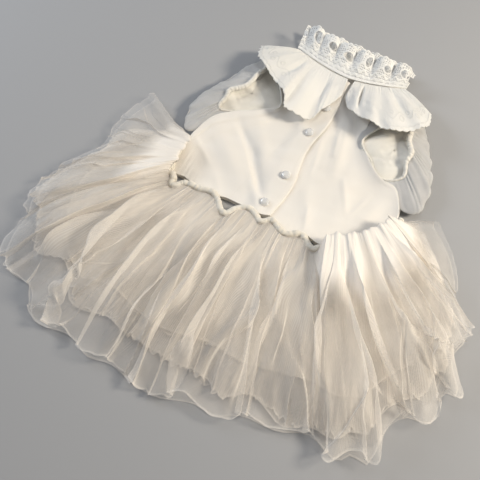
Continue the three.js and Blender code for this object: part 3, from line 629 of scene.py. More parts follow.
def tierFront(tier, share, down):
    # height and sideways shift of the front at a share of the way round and down the cloth: a
    # mound that falls to the table at the hem; exp(-|t|^edge) for each fold, steep on the side
    # that it leans over and long on the other; and gathers that die away below the waist
    seed, curl = tier["seed"], tier["curl"]
    length = down * tierLength(tier, share)
    ahead, behind = np.minimum(1, share + 0.002), np.maximum(0, share - 0.002)
    across = skirtPlan(ahead, length) - skirtPlan(behind, length)
    pitch = np.linalg.norm(across, axis=-1) / (ahead - behind)
    window = np.clip(arch(share), 0, 1) ** 0.35
    seamRise = tube["tableGap"] + tube["seamRise"] + tierRadius(tier, 0)
    mound = mix(seamRise, tier["floor"], ramp(0.0, 0.24, down)) + tier["puff"] * arch(down) ** 0.8
    mound = mix(mound, tier["hemFloor"], ramp(0.72, 1.0, down) ** 1.3)
    rise = mix(flatRise(tier, length, 1), mound, window)
    sideways = np.zeros_like(rise)
    # folds stay low where the net is puffed back
    calm = 1 - 0.85 * np.clip(overRoll(share), 0, 1) * (1 - ramp(0.06, 0.3, down))
    for fold in foldsOf(tier):
        start, end, lean = fold["start"], fold["end"], fold["lean"]
        centre = mix(fold["waist"], fold["hem"], down**0.75)
        centre = centre + 0.004 * wander(seed + 8, down * 1.3, fold["hem"] * 40)
        width = mix(2.4, fold["width"], down**0.8)
        leaning = (share - centre) * pitch / width * (1 if lean > 0 else -1)
        skewed = leaning / np.where(leaning > 0, 0.55, 1.8 if fold["edge"] < 3 else 1.0)
        grown = ramp(start - 0.02, start + 0.3, down) * window * calm
        if end < 0.99:
            grown = grown * (1 - ramp(end - 0.25, end + 0.08, down))
        bulge = hill(skewed, fold["edge"]) * grown
        height = fold["height"] * mix(0.35, 1.0, down**0.6) * mix(1.0, 0.62, ramp(0.7, 1.0, down))
        rise = rise + height * bulge
        sideways = sideways + width * 1.25 * lean * bulge
    reach = 0.13 + 0.08 * wander(seed + 1, share * 9) + 0.05 * wander(seed + 2, share * 31)
    fade = hill(down / np.maximum(reach, 0.05), 1.3) * window
    turn = math.tau * (tier["gathers"] * share + 0.9 * wander(seed + 3, share * 14))
    gather = tier["gatherHeight"] * (0.7 + 0.7 * wander(seed + 4, share * 23)) * calm
    rise = rise + gather * fade * (1 + np.cos(turn)) * (0.35 + 0.65 * ramp(0, 0.06, down))
    sideways = sideways - 0.12 * pitch / tier["gathers"] * np.sin(2 * turn) * fade
    ruffle = curl * wander(seed + 5, share * 24 * curl, down * 1.5) * ramp(0.6, 1.0, down) * window
    crumple = 1.1 * wander(seed + 6, share * 24, down * 4) * ramp(0.1, 0.4, down) * window
    length = length + 0.008 * curl * wander(seed + 10, share * 30 * curl) * ramp(0.8, 1.0, down)
    rise = np.maximum(rise + ruffle + crumple, 0.9 + 0.5 * tier["layer"])
    return rise, sideways, unit(across), length


def tierPoints(tier):
    # the whole tube: a fine front, a round side fold, a coarse back flat on the table, and the
    # other side fold; with the share round and the share down of every point
    down = np.linspace(0, 1, tier["rows"])
    share, drop = shareGrid(tier["columns"], tier["rows"])
    rise, sideways, across, length = tierFront(tier, share, drop)
    front = level(skirtPlan(share, length) + across * sideways[..., None])
    # the net puffed back over the roll: x e^(1-x) up from the seam and over
    peak = drop / 0.075
    back = overRoll(share) * peak * np.exp(1 - peak)
    front[..., :2] -= waistOutward(share) * (tier["backReach"] * back)[..., None]
    front[..., 2] = rise + tier["backRise"] * back

    def sideFold(end, turns):
        ends = np.full(tier["rows"], float(end))
        along = down * tierLength(tier, ends)
        plan = skirtPlan(ends, along)
        outward = unit(plan - skirtPlan(ends + (-0.01 if end else 0.01), along))
        low = flatRise(tier, along, -1)
        half = (front[-end, :, 2] - low) / 2
        turns = turns[:, None]
        points = level(plan + outward * (half * np.cos(turns))[..., None])
        points[..., 2] = low + half + half * np.sin(turns)
        return points

    turns = np.linspace(math.pi / 2, -math.pi / 2, tube["sideSteps"])[1:-1]
    backShare, backDrop = (grid[::-1] for grid in shareGrid(tube["backColumns"], tier["rows"]))
    backLength = backDrop * tierLength(tier, backShare)
    rear = level(skirtPlan(backShare, backLength))
    wave = 1.4 * wander(tier["seed"] + 7, backShare * 18, backLength * 1.2)
    settle = arch(backShare) ** 0.4 * ramp(0, 0.2, backLength)
    rear[..., 2] = flatRise(tier, backLength, -1) + np.maximum(0, wave) * settle
    points = np.concatenate([front, sideFold(1, turns), rear, sideFold(0, turns[::-1])], 0)
    ends = np.ones(len(turns))
    shares = np.concatenate([share[:, 0], ends, backShare[:, 0], 0 * ends])
    return points, np.broadcast_to(shares[:, None], points.shape[:2]), np.broadcast_to(down, points.shape[:2])


def uprightness(points):
    # 1 over how level each point of a closed grid lies, from its normal's height, up to 3.5
    across = np.roll(points, -1, 0) - np.roll(points, 1, 0)
    normal = unit(np.cross(across, np.gradient(points, axis=1)))
    return 1 / np.maximum(np.abs(normal[..., 2]), 0.285)


def makeTier(name):
    tier = tiers[name]
    points, share, down = tierPoints(tier)
    seed, columns = tier["seed"] + 9, tier["columns"]
    width, length = (1000 * size for size in tier["cut"])
    front = tube["frontShare"] * width
    rest = np.linspace(front, width, len(points) - columns + 2)[1:]
    clothAcross = np.concatenate([np.linspace(0, front, columns), rest])
    thick = (1 + 0.5 * wander(seed, share * 16, down * 1.1)) * mix(1.25, tier["thin"], ramp(0.0, 0.9, down))
    # dense below the puff over the roll, and thin where its top first turns over
    puff = overRoll(share)
    thick = thick * (1 + 2.6 * puff * ramp(0.015, 0.08, down) * (1 - ramp(0.16, 0.42, down)))
    # the lobes beside the two side folds are a single thin layer
    thick = thick * (1 - 0.5 * ramp(0.05, 0.0, share) - 0.5 * ramp(0.945, 0.985, share))
    traits = {
        "edge": np.where(down > 0.994, 0.7 + 0.3 * wander(seed + 1, share * 60), 0.0),
        "thick": np.clip(thick, 0.4, 3.6),
        "stand": mix(uprightness(points), 1.0, np.clip(puff, 0, 1) * (1 - ramp(0.12, 0.3, down))),
    }
    return addCloth(name + "_net", points, (clothAcross, length), netFinishes[name], "net", name,
                    rings=(True, False), facing="out", traits=traits)


for tierName in ("skirt_inner", "skirt_middle", "skirt_outer"):
    netPiece = makeTier(tierName)
print("skirt made")


def makeWaistRoll():
    # the rolled casing: across the front, down round a side fold, back flat on the table and up
    radius, frontRise = waist["rollRadius"], waist["rollFrontRise"]
    backRise = radius * 1.25
    middle, half = (frontRise + backRise) / 2, (frontRise - backRise) / 2
    share = np.linspace(0, 1, 900)
    turn = np.linspace(0, math.pi, 9)[1:-1]

    def run(shares, rise, ahead=0.0):
        outward = waistOutward(shares)
        aside = np.stack([-outward[:, 1], outward[:, 0]], -1)
        points = level(besideWaist(shares, rollWave(shares)) + aside * np.reshape(ahead, (-1, 1)))
        points[:, 2] = rise
        return points, level(outward)

    parts = [
        run(share, frontRise + 0.9 * wander(51, share * 24)),
        run(np.ones(7), middle + half * np.cos(turn), half * np.sin(turn)),
        run(np.linspace(1, 0, 160), backRise),
        run(np.zeros(7), middle - half * np.cos(turn), -half * np.sin(turn)),
    ]
    centre, sideways = (np.concatenate(rows) for rows in zip(*parts))
    travel = unit(np.roll(centre, -1, 0) - np.roll(centre, 1, 0))
    sideways = unit(sideways - travel * np.sum(sideways * travel, -1, keepdims=True))
    along = np.linspace(0, 1, len(centre))[:, None]

    def spread(turns):
        pleat = np.sin(math.tau * (74 * along + 0.9 * wander(53, along * 22)) + 1.2 * np.sin(turns)[None])
        strength = 0.05 + 0.05 * wander(54, along * 40)
        return radius * (0.98 + strength * pleat + 0.13 * wander(52, along * 34, turns[None] / 5))

    addRoll("waist_casing", centre, sideways, spread, 16, creamBinding, "waist_roll")


makeWaistRoll()
print("waist made")


bodice = {
    "halfWidth": 118, "neckHalfWidth": 67, "placketLap": 17, "placketReach": 90, "wall": 1.4,
    "neckCentreX": 4, "neckFrontY": 193, "neckSideRise": 17, "neckBackY": 216, "neckBackRise": 4,
    "lipLift": 6.6, "looksWall": 1.0, "shirrPitch": 6.2,
    # side edges, waist to neck; the back's is that of its right half
    "backSide": [
        (116, 38), (117, 62), (112, 100), (100, 155), (82, 200), (68, 216),
    ],
    "leftSide": [
        (-116, 38), (-116, 55), (-108, 80), (-88, 97), (-66, 109), (-49, 130), (-50, 165), (-56, 205),
    ],
    "rightSide": [
        (116, 38), (115, 56), (104, 78), (86, 83), (69, 98), (53, 122), (48, 160), (56, 205),
    ],
    "placket": [
        (0, -20), (6, 18), (7, 40), (3, 72), (4, 95), (9, 122), (9, 150), (8, 190),
    ],
    # soft ridges, and smaller creases over them: from x, y, to x, y, spread, height
    "ridges": [
        (-102, 70, -42, 14, 11, 2.6), (-60, 92, -26, 44, 8, 1.7), (-38, 30, -12, -8, 5, 1.8),
        (-80, 86, -47, 55, 5, -2.3), (-50, 58, -19, 12, 5, -2.8), (10, 142, 26, 120, 6, -1),
        (-34, 132, -8, 102, 7, 1.4), (-98, 34, -66, 4, 8, 1.2), (-6, 70, -40, 62, 7, 0.9),
        (8, 84, 9, 128, 6, 1.6), (26, 140, 40, 70, 7, 2.2), (52, 84, 66, 20, 9, 1),
        (98, 66, 82, 12, 9, 1.3), (24, 36, 44, -12, 7, 1.2),
    ],
    "creases": [
        (-72, 78, -18, 10, 2.8, -0.7), (-112, 44, -84, 22, 3, 0.7), (-70, 10, -56, -8, 3, 0.5),
        (20, 138, 30, 92, 3.2, 1.1), (12, 100, 18, 60, 3, 0.6), (52, 66, 70, 30, 3.2, 0.8),
        (84, 60, 74, 26, 3.2, 0.7), (32, 20, 40, -6, 2.4, 0.8), (-14, 150, -30, 170, 3, 0.7),
    ],
}


def frontNeckY(x):
    side = np.minimum(1, np.abs(x - bodice["neckCentreX"]) / bodice["neckHalfWidth"])
    return bodice["neckFrontY"] + bodice["neckSideRise"] * side**1.6


def backNeckY(across):
    return bodice["neckBackY"] + bodice["neckBackRise"] * arch(across)


def hemPoint(share):
    # along its own waves, and never further out than just inside the roll
    return besideWaist(share, np.minimum(tableCurve(waist["hemWave"], share), rollWave(share) - 1.6))


def ridgeRise(x, y, ridges):
    # a hill across each line, highest at its middle
    rise = np.zeros_like(x)
    for fromX, fromY, toX, toY, spread, height in ridges:
        runX, runY = toX - fromX, toY - fromY
        place = np.clip(((x - fromX) * runX + (y - fromY) * runY) / (runX**2 + runY**2), 0, 1)
        distance = np.hypot(x - fromX - runX * place, y - fromY - runY * place)
        rise += height * hill(distance / spread) * arch(mix(0.15, 0.85, place))
    return rise


def frontRise(x, y, upper):
    side = np.minimum(1, np.abs(x) / bodice["halfWidth"])
    wall = bodice["wall"]
    rise = 1.5 * wall + 0.5 + 2.2 * hill((y + 26 - 66 * side**5) / 26)
    rise = rise + 5.7 * ramp(150, 195, y) + 1.2 * (1 - side**2)
    rise = rise + ridgeRise(x, y, bodice["ridges"]) * (1.0 if upper else ramp(-14, 16, x))
    return rise + ((wall + 0.6) * ramp(-30, -14, x) if upper else 0.0)


def patch(low, high, near, far):
    # a Coons patch: the two ruled surfaces between opposite sides, less the corners' bilinear one;
    # the two side edges bend to meet the hem's and the neck's corners
    u, v = (grid[..., None] for grid in shareGrid(len(low), len(near)))
    low, high, near, far = low[:, None], high[:, None], near[None], far[None]
    near = near + (low[:1] - near[:, :1]) * (1 - v) ** 4 + (high[:1] - near[:, -1:]) * v**4
    far = far + (low[-1:] - far[:, :1]) * (1 - v) ** 4 + (high[-1:] - far[:, -1:]) * v**4
    corners = mix(mix(low[:1], low[-1:], u), mix(high[:1], high[-1:], u), v)
    return level(mix(low, high, v) + mix(near, far, u) - corners)


def middlesOf(points):
    # the cloth's millimetres along the middle of each way
    columns, rows = points.shape[:2]
    return pathLength(points[:, rows // 2]), pathLength(points[columns // 2])


def shirring(x, y, height):
    # puckers above the waist seam: a wave across, which dies away up the panel
    side = np.minimum(1, np.abs(x) / bodice["halfWidth"])
    above = np.maximum(0, y + 26 - 62 * side**5)
    stray = 2.4 * wander(61, x / 40) + 0.02 * above * np.sin(x / 9)
    wave = np.sin(math.tau * x / bodice["shirrPitch"] + stray)
    reach = np.maximum(6 * (1 + 0.6 * wander(62, x / 17)), 3)
    return height * wave * np.exp(-above / reach) * ramp(0.0, 3.0, above + 1.0)


def makeFront(name, hemEnds, neckEnds):
    across, up = np.linspace(0, 1, 130), np.linspace(0, 1, 140)
    upper = name == "left"
    placket = smoothRows(bodice["placket"], up)
    outer = smoothRows(bodice[name + "Side"], up)
    sides = (outer, placket) if upper else (placket - (bodice["placketLap"], 0), outer)
    neckX = mix(*neckEnds, across)
    neck = np.stack([neckX, frontNeckY(neckX) - 3], -1)
    points = patch(hemPoint(mix(*hemEnds, across)), neck, *sides)
    x, y = points[..., 0], points[..., 1]
    soft = ridgeRise(x, y, bodice["creases"]) + shirring(x, y, 0.35 if upper else 0.75)
    soft = soft + 0.5 * wander(63, x / 60, y / 70)
    rise = frontRise(x, y, upper) + soft * (1.0 if upper else ramp(-2, 16, x))
    # the side edge is drawn up over the sleeve's lip
    fromSide = across if upper else 1 - across
    rise = rise + bodice["lipLift"] * hill(fromSide / 0.22, 1.8)[:, None] * hill((up - 0.46) / 0.38, 4)
    if upper:
        # the band of the placket stands a little higher, and its very edge turns down
        fold = (1 - across)[:, None] * bodice["placketReach"]
        rise = rise + 0.35 * (1 - ramp(15.5, 17.5, fold)) - 0.9 * (1 - ramp(0.0, 1.6, fold))
    points[..., 2] = rise
    addCloth("front_" + name, points, middlesOf(points), cottonWhite, "cotton",
             "bodice_front_" + name, wall=bodice["looksWall"])
    if upper:
        # two rows of sewing down the buttoned edge
        columns = [int((1 - inset / bodice["placketReach"]) * 129) for inset in (2.5, 17)]
        addStitches("placket_stitches", [points[column, 3:-8] + (0, 0, 0.6) for column in columns])


def makeBack():
    across = np.linspace(0, 1, 70)
    neck = np.stack([mix(-68, 68, across), backNeckY(across)], -1)
    side = smoothRows(bodice["backSide"], across)
    points = patch(hemPoint(mix(0.03, 0.97, across)), neck, side * (-1, 1), side)
    x, y = points[..., 0], points[..., 1]
    points[..., 2] = 0.7 + 1.5 * ramp(128, 146, y) + 0.18 * (1 + wander(71, x / 50, y / 50))
    addCloth("back_panel", points, middlesOf(points), cottonWhite, "cotton", "bodice_back",
             wall=bodice["looksWall"])


makeFront("left", (0.03, 0.532), (-56, 8))
makeFront("right", (0.49, 0.97), (8 - bodice["placketLap"], 56))
makeBack()
print("bodice made")


sleeves = {
    "cuffInner": 1.2, "cuffOuter": 3.1, "gathers": 7, "middleX": 70.0, "middleY": 118.0,
    "strip": (330, 62), "wall": 0.5, "back": (200, 30), "backWall": 0.4,
    # eight stations round each sleeve from the shoulder: armhole, swell and rim
    "left": [
        (-66, 199, 6, -80, 198, 11, -84, 178, 15), (-92, 174, 4.6, -105, 162, 11, -88, 156, 17),
        (-104, 136, 4.4, -127, 118, 11, -96, 127, 19), (-108, 96, 3.4, -139, 77, 10, -107, 107, 19),
        (-103, 74, 4.4, -124, 50, 7.5, -107, 88, 12), (-78, 84, 2.8, -82, 88, 3.8, -87, 98, 8),
        (-56, 101, 3, -60, 106, 4.6, -66, 110, 8.4), (-48, 145, 4.4, -46, 138, 7, -49, 129, 9.5),
    ],
    "right": [
        (66, 199, 6, 84, 196, 11, 86, 172, 16), (92, 174, 4.6, 106, 164, 11, 93, 154, 18),
        (104, 136, 4.4, 127, 123, 11, 100, 135, 19), (108, 96, 3.4, 139, 81, 10, 105, 114, 18),
        (103, 74, 4.4, 127, 57, 7.5, 106, 90, 11), (78, 78, 2.8, 80, 78, 3.8, 84, 83, 8),
        (58, 96, 3, 60, 96, 4.6, 68, 100, 8.4), (47, 140, 4.4, 46, 134, 7, 51, 125, 9.5),
    ],
}


def outerShare(share):
    # 1 on the sleeve's outer side, away from the bodice, and 0 where its lip lies on it
    return hill((share % 1.0 - 0.27) / 0.22, 4)


def sleevePoint(share, up, name):
    # a parabola from the armhole through the swell to the gathered rim at each place round
    ring = smoothRows(sleeves[name], share, closed=True)
    v = up[..., None]
    weights = ((1 - 2 * v) * (1 - v), 4 * v * (1 - v), v * (2 * v - 1))
    point = sum(ring[..., 3 * k:3 * k + 3] * weight for k, weight in enumerate(weights))
    middleX = sleeves["middleX"] * (1 if name == "right" else -1)
    centre = np.stack([middleX + 0 * up, sleeves["middleY"] + 0 * up, point[..., 2]], -1)
    gather = np.sin(math.tau * sleeves["gathers"] * share + 1.2 * np.sin(4 * math.pi * share))
    gather = gather * outerShare(share) * 1.8 * up**1.5
    return point + unit(point - centre) * gather[..., None]


def makeSleeve(name, outwardSign, seed):
    columns, rows, step = 240, 50, 0.004
    share, up = shareGrid(columns, rows, closed=True)
    ahead = sleevePoint(share + step, up, name) - sleevePoint(share - step, up, name)
    rising = sleevePoint(share, np.minimum(1, up + step), name)
    rising = rising - sleevePoint(share, np.maximum(0, up - step), name)
    outward = unit(np.cross(ahead, rising)) * outwardSign
    outer = outerShare(share)
    ringX, ringY = np.cos(math.tau * share), np.sin(math.tau * share)
    turn = math.tau * (27 * share + 1.3 * wander(seed, ringX * 0.8, ringY * 0.8))
    depth = 0.55 + 0.45 * wander(seed + 1, ringX, ringY)
    pleats = (0.25 + 0.75 * outer) * np.cos(turn) * (1.1 * up**2 * depth + 0.5 * (1 - up) ** 3)
    soft = 2.2 * wander(seed + 2, ringX * 1.4, up + ringY * 1.4) * arch(up) * (0.15 + 0.85 * outer)
    points = sleevePoint(share, up, name) + outward * (pleats + soft)[..., None]
    points[..., 2] = np.maximum(points[..., 2], 1.0)
    addCloth("sleeve_" + name + "_voile", points, sleeves["strip"], sleeveVoile, "voile", "sleeve_" + name,
             wall=sleeves["wall"], rings=(True, False), facing="out")


def makeCuff(name):
    share = np.linspace(0, 1, 460, endpoint=False)
    around, one = share[:, None], np.ones(460)
    rim = sleevePoint(share, one, name)
    rise = unit(rim - sleevePoint(share, one * 0.75, name))
    ahead = unit(sleevePoint(share + 0.01, one, name) - sleevePoint(share - 0.01, one, name))
    sideways = unit(np.cross(rise, ahead))
    thick = mix(sleeves["cuffInner"], sleeves["cuffOuter"], outerShare(around))

    def spread(turns):
        pleat = np.sin(math.tau * (31 * around + 0.9 * wander(87, around * 9)) + 1.3 * np.sin(turns)[None])
        return thick * (0.95 + 0.08 * pleat + 0.09 * wander(86, around * 12, turns[None] / 5))

    centre = rim + rise * thick * 0.7
    addRoll("cuff_" + name + "_casing", centre, sideways, spread, 14, cuffBinding, "cuff_" + name)


def makeSleeveInside(name, lean):
    # the sleeve's back layer, seen through its mouth: the rim drawn in to the middle, hung below
    # the outer rim and passed under the inner lip, with soft folds along it
    share, inward = shareGrid(120, 24, closed=True)
    inward = mix(0.03, 1, inward)
    rim = sleevePoint(share, np.ones_like(share), name)
    outer = outerShare(share)
    centre = rim[:, -1].mean(0)
    points = mix(centre, rim, (inward * mix(1.04, 0.98, outer))[..., None])
    x, y = points[..., 0], points[..., 1]
    fold = np.sin((y * 0.9 + x * lean) / 5.5 + 1.8 * wander(84, x / 30, y / 30))
    soft = 2.0 * fold * np.maximum(arch(inward), 0) ** 0.7 * (0.4 + 0.6 * outer)
    points[..., 2] = mix(12.0, mix(5.6, rim[..., 2] - 1.5, outer), inward**2.4) + soft
    # its finish is the sleeve voile with painted warm light, brighter and warmer than the outside
    addCloth("sleeve_" + name + "_back", points, sleeves["back"], insideVoilePaintedLight, "voile",
             wall=sleeves["backWall"], rings=(True, False))


for sleeveName, side, seed in (("left", 1, 81), ("right", -1, 88)):
    makeSleeve(sleeveName, side, seed)
    makeSleeveInside(sleeveName, 0.5 * side)
    makeCuff(sleeveName)
print("sleeves made")


collar = {
    "neckRise": 13.0, "ripples": 5, "rippleHeight": 1.7, "wall": 0.7, "hemLong": 190, "deep": 64,
    # hollow folds: place along the neck, half width as a share of it, depth in mm
    "leftHollows": [(0.22, 0.035, 2.5), (0.62, 0.03, 3.0)],
    "rightHollows": [(0.20, 0.022, 6.0), (0.66, 0.04, 2.5)],
    # neck x, hem x, y, z from the placket out to the shoulder tip
    "left": [
        (4, 7, 167, 12), (-9, -3, 140, 13), (-22, -13, 118, 13), (-34, -38, 112, 24),
        (-44, -48, 128, 27), (-53, -76, 149, 28), (-60, -98, 168, 26), (-66, -105, 190, 18),
    ],
    "right": [
        (12, 11, 168, 10), (20, 22, 150, 14), (29, 38, 139, 23), (38, 57, 132, 28), (46, 78, 130, 30),
        (54, 99, 144, 28), (61, 109, 160, 24), (67, 106, 180, 18),
    ],
    # neck x, y, hem x, y of the part behind the neck, flat on the table
    "back": [
        (-68, 213, -104, 180), (-45, 214, -66, 166), (0, 215, 0, 160), (45, 214, 66, 166),
        (68, 213, 106, 178),
    ],
}


def collarPoint(rows, across, down):
    # a straight run from the neck seam to the hem at each place, lifted in the middle, with
    # cosine ripples that grow toward the hem
    neckX, *hem = np.moveaxis(smoothRows(rows, across), -1, 0)
    neck = np.stack([neckX, frontNeckY(neckX), collar["neckRise"] + 0 * neckX], -1)
    point = mix(neck, np.stack(hem, -1), down[..., None])
    ripple = 1 + np.cos(math.tau * collar["ripples"] * across + 0.6)
    point[..., 2] += 2.4 * arch(down) + collar["rippleHeight"] * down * ripple * arch(mix(0.08, 0.92, across))
    return point


def embroidery(across, down):
    # white work toward the tip: a sine vine with a ring in each bend, and arcs along the hem
    u, v = across * collar["hemLong"], down * collar["deep"]
    vine = np.abs(v - 45 - 4.5 * np.sin(math.tau * u / 26))
    rings = np.abs(np.hypot(u % 13 - 6.5, v - 45 + 4 * np.cos(math.pi * np.floor(u / 13))) - 2.8)
    arcs = np.abs(v - 60.5 + 2.2 * np.abs(arch(u / 8)))
    nearest = np.minimum(np.minimum(vine, rings), arcs)
    return (1 - ramp(0.44, 1.1, nearest)) * ramp(0.45, 0.7, across)


def makeCollar(name, seed, frayed):
    across, down = shareGrid(230, 60)
    # the hem's edge: small scallops, and a little torn toward the tip
    edge = 0.022 * np.abs(arch(across * collar["hemLong"] / 8))
    edge = edge + frayed * wander(seed + 3, across * 26) * ramp(0.5, 0.9, across)
    points = collarPoint(collar[name], across, down * (0.985 + edge * ramp(0.7, 1, down)))
    gathers = 0.45 * np.sin(math.tau * (22 * across + 1.2 * wander(seed, across * 7)))
    points[..., 2] += gathers * hill(down / 0.16, 1.3) * ramp(0, 0.08, down)
    points[..., 2] += 1.1 * wander(seed + 1, across * 5, down * 1.4) * down
    for place, spread, depth in collar[name + "Hollows"]:
        hollow = hill((across - place - 0.05 * down) / spread)
        points[..., 2] -= depth * hollow * arch(np.clip(down * 1.1, 0, 1)) ** 2
    addCloth("collar_" + name + "_flounce", points, (collar["hemLong"], collar["deep"]), collarWhite,
             "cotton", "collar_" + name, wall=collar["wall"], traits={"work": embroidery(across, down)})


def makeCollarBack():
    across, down = shareGrid(100, 24)
    rows = smoothRows(collar["back"], across)
    points = level(mix(rows[..., :2], rows[..., 2:], down[..., None]))
    points[..., 2] = 0.6 + 0.25 * (1 + np.sin(math.tau * 9 * across)) * down
    addCloth("collar_back_flounce", points, (210, 52), collarWhite, "cotton", "collar_back",
             wall=collar["wall"], traits={"work": 0.0 * across})


makeCollar("left", 91, 0.03)
makeCollar("right", 97, 0.0)
makeCollarBack()
print("collar made")


lace = {
    "lobes": 6.5, "lobeHeight": 4.6, "seamStep": 0.3, "wall": 0.5, "scallop": 5.0, "slotLag": 1.2,
    # slots of the ribbon row, one on the flank of each lobe: share up, width and height in mm
    "slots": [
        (0.62, 9, 8), (0.68, 12, 12), (0.66, 12, 8), (0.6, 14, 8), (0.7, 8, 11), (0.62, 9, 8),
        (0.6, 12, 11),
    ],
    "back": {"baseZ": 2.6, "riseZ": 3.4, "length": 33, "phase": 0.3, "grid": (360, 50)},
    "front": {"baseZ": 14.4, "riseZ": 8, "length": 30, "phase": 2.4, "grid": (480, 66)},
}


def laceWave(ruffle, across):
    return math.tau * lace["lobes"] * across + ruffle["phase"] + 0.9 * np.sin(5 * across)


def lacePoint(name, across, up):
    # up from the neck seam at each place; sine lobes lift and sway the top so that each lobe laps
    # the next, and the top edge is rounded over every lobe by |cos| of half its turn
    ruffle = lace[name]
    side = 2 * across - 1
    neckX = bodice["neckHalfWidth"] * side
    seamY, fullness = backNeckY(across), 0.0
    if name == "front":
        seamY, fullness = frontNeckY(neckX), 0.6 * bodice["neckSideRise"] * (1 - np.abs(side) ** 1.6)
    wave = laceWave(ruffle, across)
    lobe = lace["lobeHeight"] * up**1.2 * (1 + np.sin(wave)) * (1 + 0.3 * wander(101, across * 6))
    lobe = lobe * (0.4 + 0.6 * ramp(0, 0.06, across) * ramp(0, 0.06, 1 - across))
    rounding = 1 - 0.2 * up**2 * (1 - np.abs(np.cos((wave - math.pi / 2) / 2)) ** 0.8)
    length = (ruffle["length"] - 10 * across + fullness) * rounding
    return np.stack([
        neckX * mix(1, np.where(side < 0, 1.05, 1.0), up) - 3.7 * up**1.1 * np.cos(wave),
        seamY + lace["seamStep"] + length * up - 0.2 * lobe,
        ruffle["baseZ"] + ruffle["riseZ"] * arch(up / 2) + lobe,
    ], -1)


def laceMotif(clothX, clothY, length):
    # petals of a small flower in every second scallop's width, three cords and clouds between
    pitch = 2 * lace["scallop"]
    petalX, petalY = clothX % pitch - pitch / 2, clothY - 0.84 * length
    flower = np.hypot(petalX, petalY) - 3.0 * (0.74 + 0.26 * np.cos(5 * np.arctan2(petalY, petalX)))
    swing = np.sin(math.tau * clothX / pitch)
    rows = ((0.16, 0.8), (0.32, 1.6), (0.52, -1.6))
    cords = np.min([np.abs(clothY - place * length - sway * swing) for place, sway in rows], 0)
    cloudy = 0.5 * ramp(0.0, 0.5, wander(103, clothX / 26, clothY / 26))
    return cloudy + 1 - ramp(-0.3, 0.5, flower) + 1 - ramp(0.9, 1.6, cords)


def makeLace(name):
    ruffle = lace[name]
    across, up = shareGrid(*ruffle["grid"])
    width, length = 2 * bodice["neckHalfWidth"] * 1.35, ruffle["length"]
    clothX, clothY = across * width, up * length
    # the scalloped top edge: |sin| arcs
    scallop = (0.045 * np.abs(arch(clothX / lace["scallop"])) - 0.02) * ramp(0.75, 1.0, up)
    points = lacePoint(name, across, up + scallop)
    # a lobe is highest at a quarter turn of its wave, and its slot is slotLag past that
    turns, peak = laceWave(ruffle, across[:, 0]), math.pi / 2 + lace["slotLag"]
    lobesPassed = np.ceil((turns[0] - peak) / math.tau) + np.arange(len(lace["slots"]))
    places = np.interp(math.tau * lobesPassed + peak, turns, across[:, 0])
    nearest = np.min([
        np.hypot((clothX - place * width) / (wide / 2), (clothY - height * length) / (tall / 2))
        for place, (height, wide, tall) in zip(places, lace["slots"])
    ], 0)
    hole = nearest < 1
    keep = ~(hole[:-1, :-1] & hole[1:, :-1] & hole[1:, 1:] & hole[:-1, 1:])
    edges = 1 - ramp(1.12, 1.4, nearest) + ramp(0.93, 0.96, up) + 1 - ramp(0.06, 0.1, up)
    motif = np.clip(edges + laceMotif(clothX, clothY, length), 0, 1)
    addCloth("lace_" + name + "_ruffle", points, (width, length), whiteLace, "lace", "lace_" + name,
             wall=lace["wall"], traits={"motif": motif}, keep=keep)


makeLace("back")
makeLace("front")
print("lace made")


# rings of a button from the flat top down, as shares of its radius and height, and its facets
button = {"facets": 8, "rings": [(0.46, 1.0), (0.78, 0.74), (0.97, 0.36), (0.92, 0.12), (0.80, 0.0)]}


def makeButton(name):
    # clear moulded facets: each ring is turned half a step from the last, joined by triangles
    low, high = (np.array(corner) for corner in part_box(name))
    count = button["facets"]
    middle, radius = (low + high) / 2, (high[0] - low[0]) / 2
    step = np.arange(count)
    places, faces = [], [step.tolist()]
    for row, (wide, tall) in enumerate(button["rings"]):
        turn = math.tau * (step + row / 2) / count
        places.append(np.stack([
            middle[0] + radius * wide * np.cos(turn),
            middle[1] + radius * wide * np.sin(turn),
            mix(low[2], high[2], tall) + 0 * turn,
        ], -1))
        if row:
            upper, lower = (row - 1) * count + step, row * count + step
            nextUpper, nextLower = np.roll(upper, -1), np.roll(lower, -1)
            faces += np.stack([upper, lower, nextUpper], -1).tolist()
            faces += np.stack([nextUpper, lower, nextLower], -1).tolist()
    faces.append((len(button["rings"]) * count - 1 - step).tolist())
    mesh = bpy.data.meshes.new(name + "_facets")
    mesh.from_pydata(np.concatenate(places).tolist(), [], faces)
    addPiece(name + "_facets", mesh, clearPlastic, name)


for number in range(1, 5):
    makeButton(f"button_{number}")
print("buttons made")


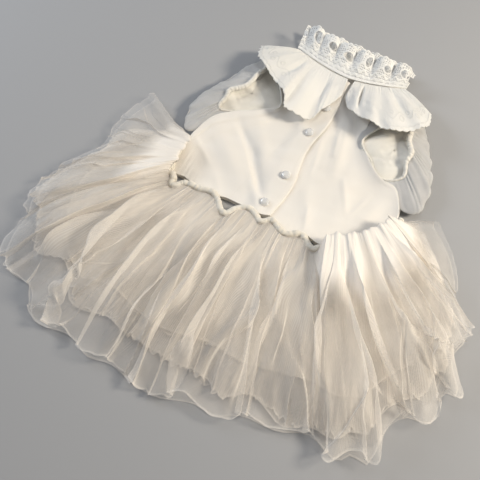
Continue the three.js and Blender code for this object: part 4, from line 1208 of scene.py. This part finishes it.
studio = {
    "floorGrey": 0.38, "floorHalf": 2.5, "floorZ": -0.0004,
    "distance": 0.670, "elevation": 60, "azimuth": 27, "lens": 50, "lookX": -13.15, "lookY": -45.08,
    # lamps: place, size, power, colour
    "lamps": {
        "warmKey": ((0.95, 0.3, 0.74), 0.3, 14, (1.0, 0.91, 0.77)),
        "coolFill": ((-1.1, 0.1, 0.65), 0.5, 6.5, (0.84, 0.91, 1.0)),
        "topSoft": ((0.1, 0.5, 1.4), 0.9, 4, (1.0, 0.99, 0.97)),
    },
    "sky": (0.85, 0.9, 1.0, 1), "skyStrength": 0.22,
}


def makeFloor():
    grey, half = studio["floorGrey"], studio["floorHalf"]
    corners = [(-half, -half, 0), (half, -half, 0), (half, half, 0), (-half, half, 0)]
    mesh = bpy.data.meshes.new("floor")
    mesh.from_pydata(corners, [], [(0, 1, 2, 3)])
    matt = {"Specular IOR Level": 0.1}
    mesh.materials.append(Finish("plain floor").done((grey, grey, grey * 1.01, 1), 0.9, more=matt))
    floor = addObject("floor", mesh)
    floor.location.z = studio["floorZ"]


def aim(made, place, back):
    made.location = place
    made.rotation_mode = "QUATERNION"
    made.rotation_quaternion = back.to_track_quat("Z", "Y")


def makeLight():
    for name, (place, size, power, colour) in studio["lamps"].items():
        light = bpy.data.lights.new(name, "AREA")
        light.shape = "DISK"
        light.size, light.energy, light.color = size, power, colour
        aim(addObject(name, light), place, Vector(place))
    world = bpy.data.worlds.new("studio")
    world.use_nodes = True
    sky = world.node_tree.nodes["Background"].inputs
    sky["Color"].default_value = studio["sky"]
    sky["Strength"].default_value = studio["skyStrength"]
    bpy.context.scene.world = world


def makeCamera():
    elevation, azimuth = math.radians(studio["elevation"]), math.radians(studio["azimuth"])
    reach = math.cos(elevation)
    back = Vector((math.sin(azimuth) * reach, -math.cos(azimuth) * reach, math.sin(elevation)))
    lens = bpy.data.cameras.new("camera")
    lens.lens, lens.sensor_width = studio["lens"], 36
    camera = addObject("camera", lens)
    look = Vector((studio["lookX"] * mm, studio["lookY"] * mm, 0))
    aim(camera, look + back * studio["distance"], back)
    bpy.context.scene.camera = camera


makeFloor()
makeLight()
makeCamera()
bpy.context.scene.cycles.transparent_max_bounces = 48
bpy.context.scene.view_settings.view_transform = "Standard"
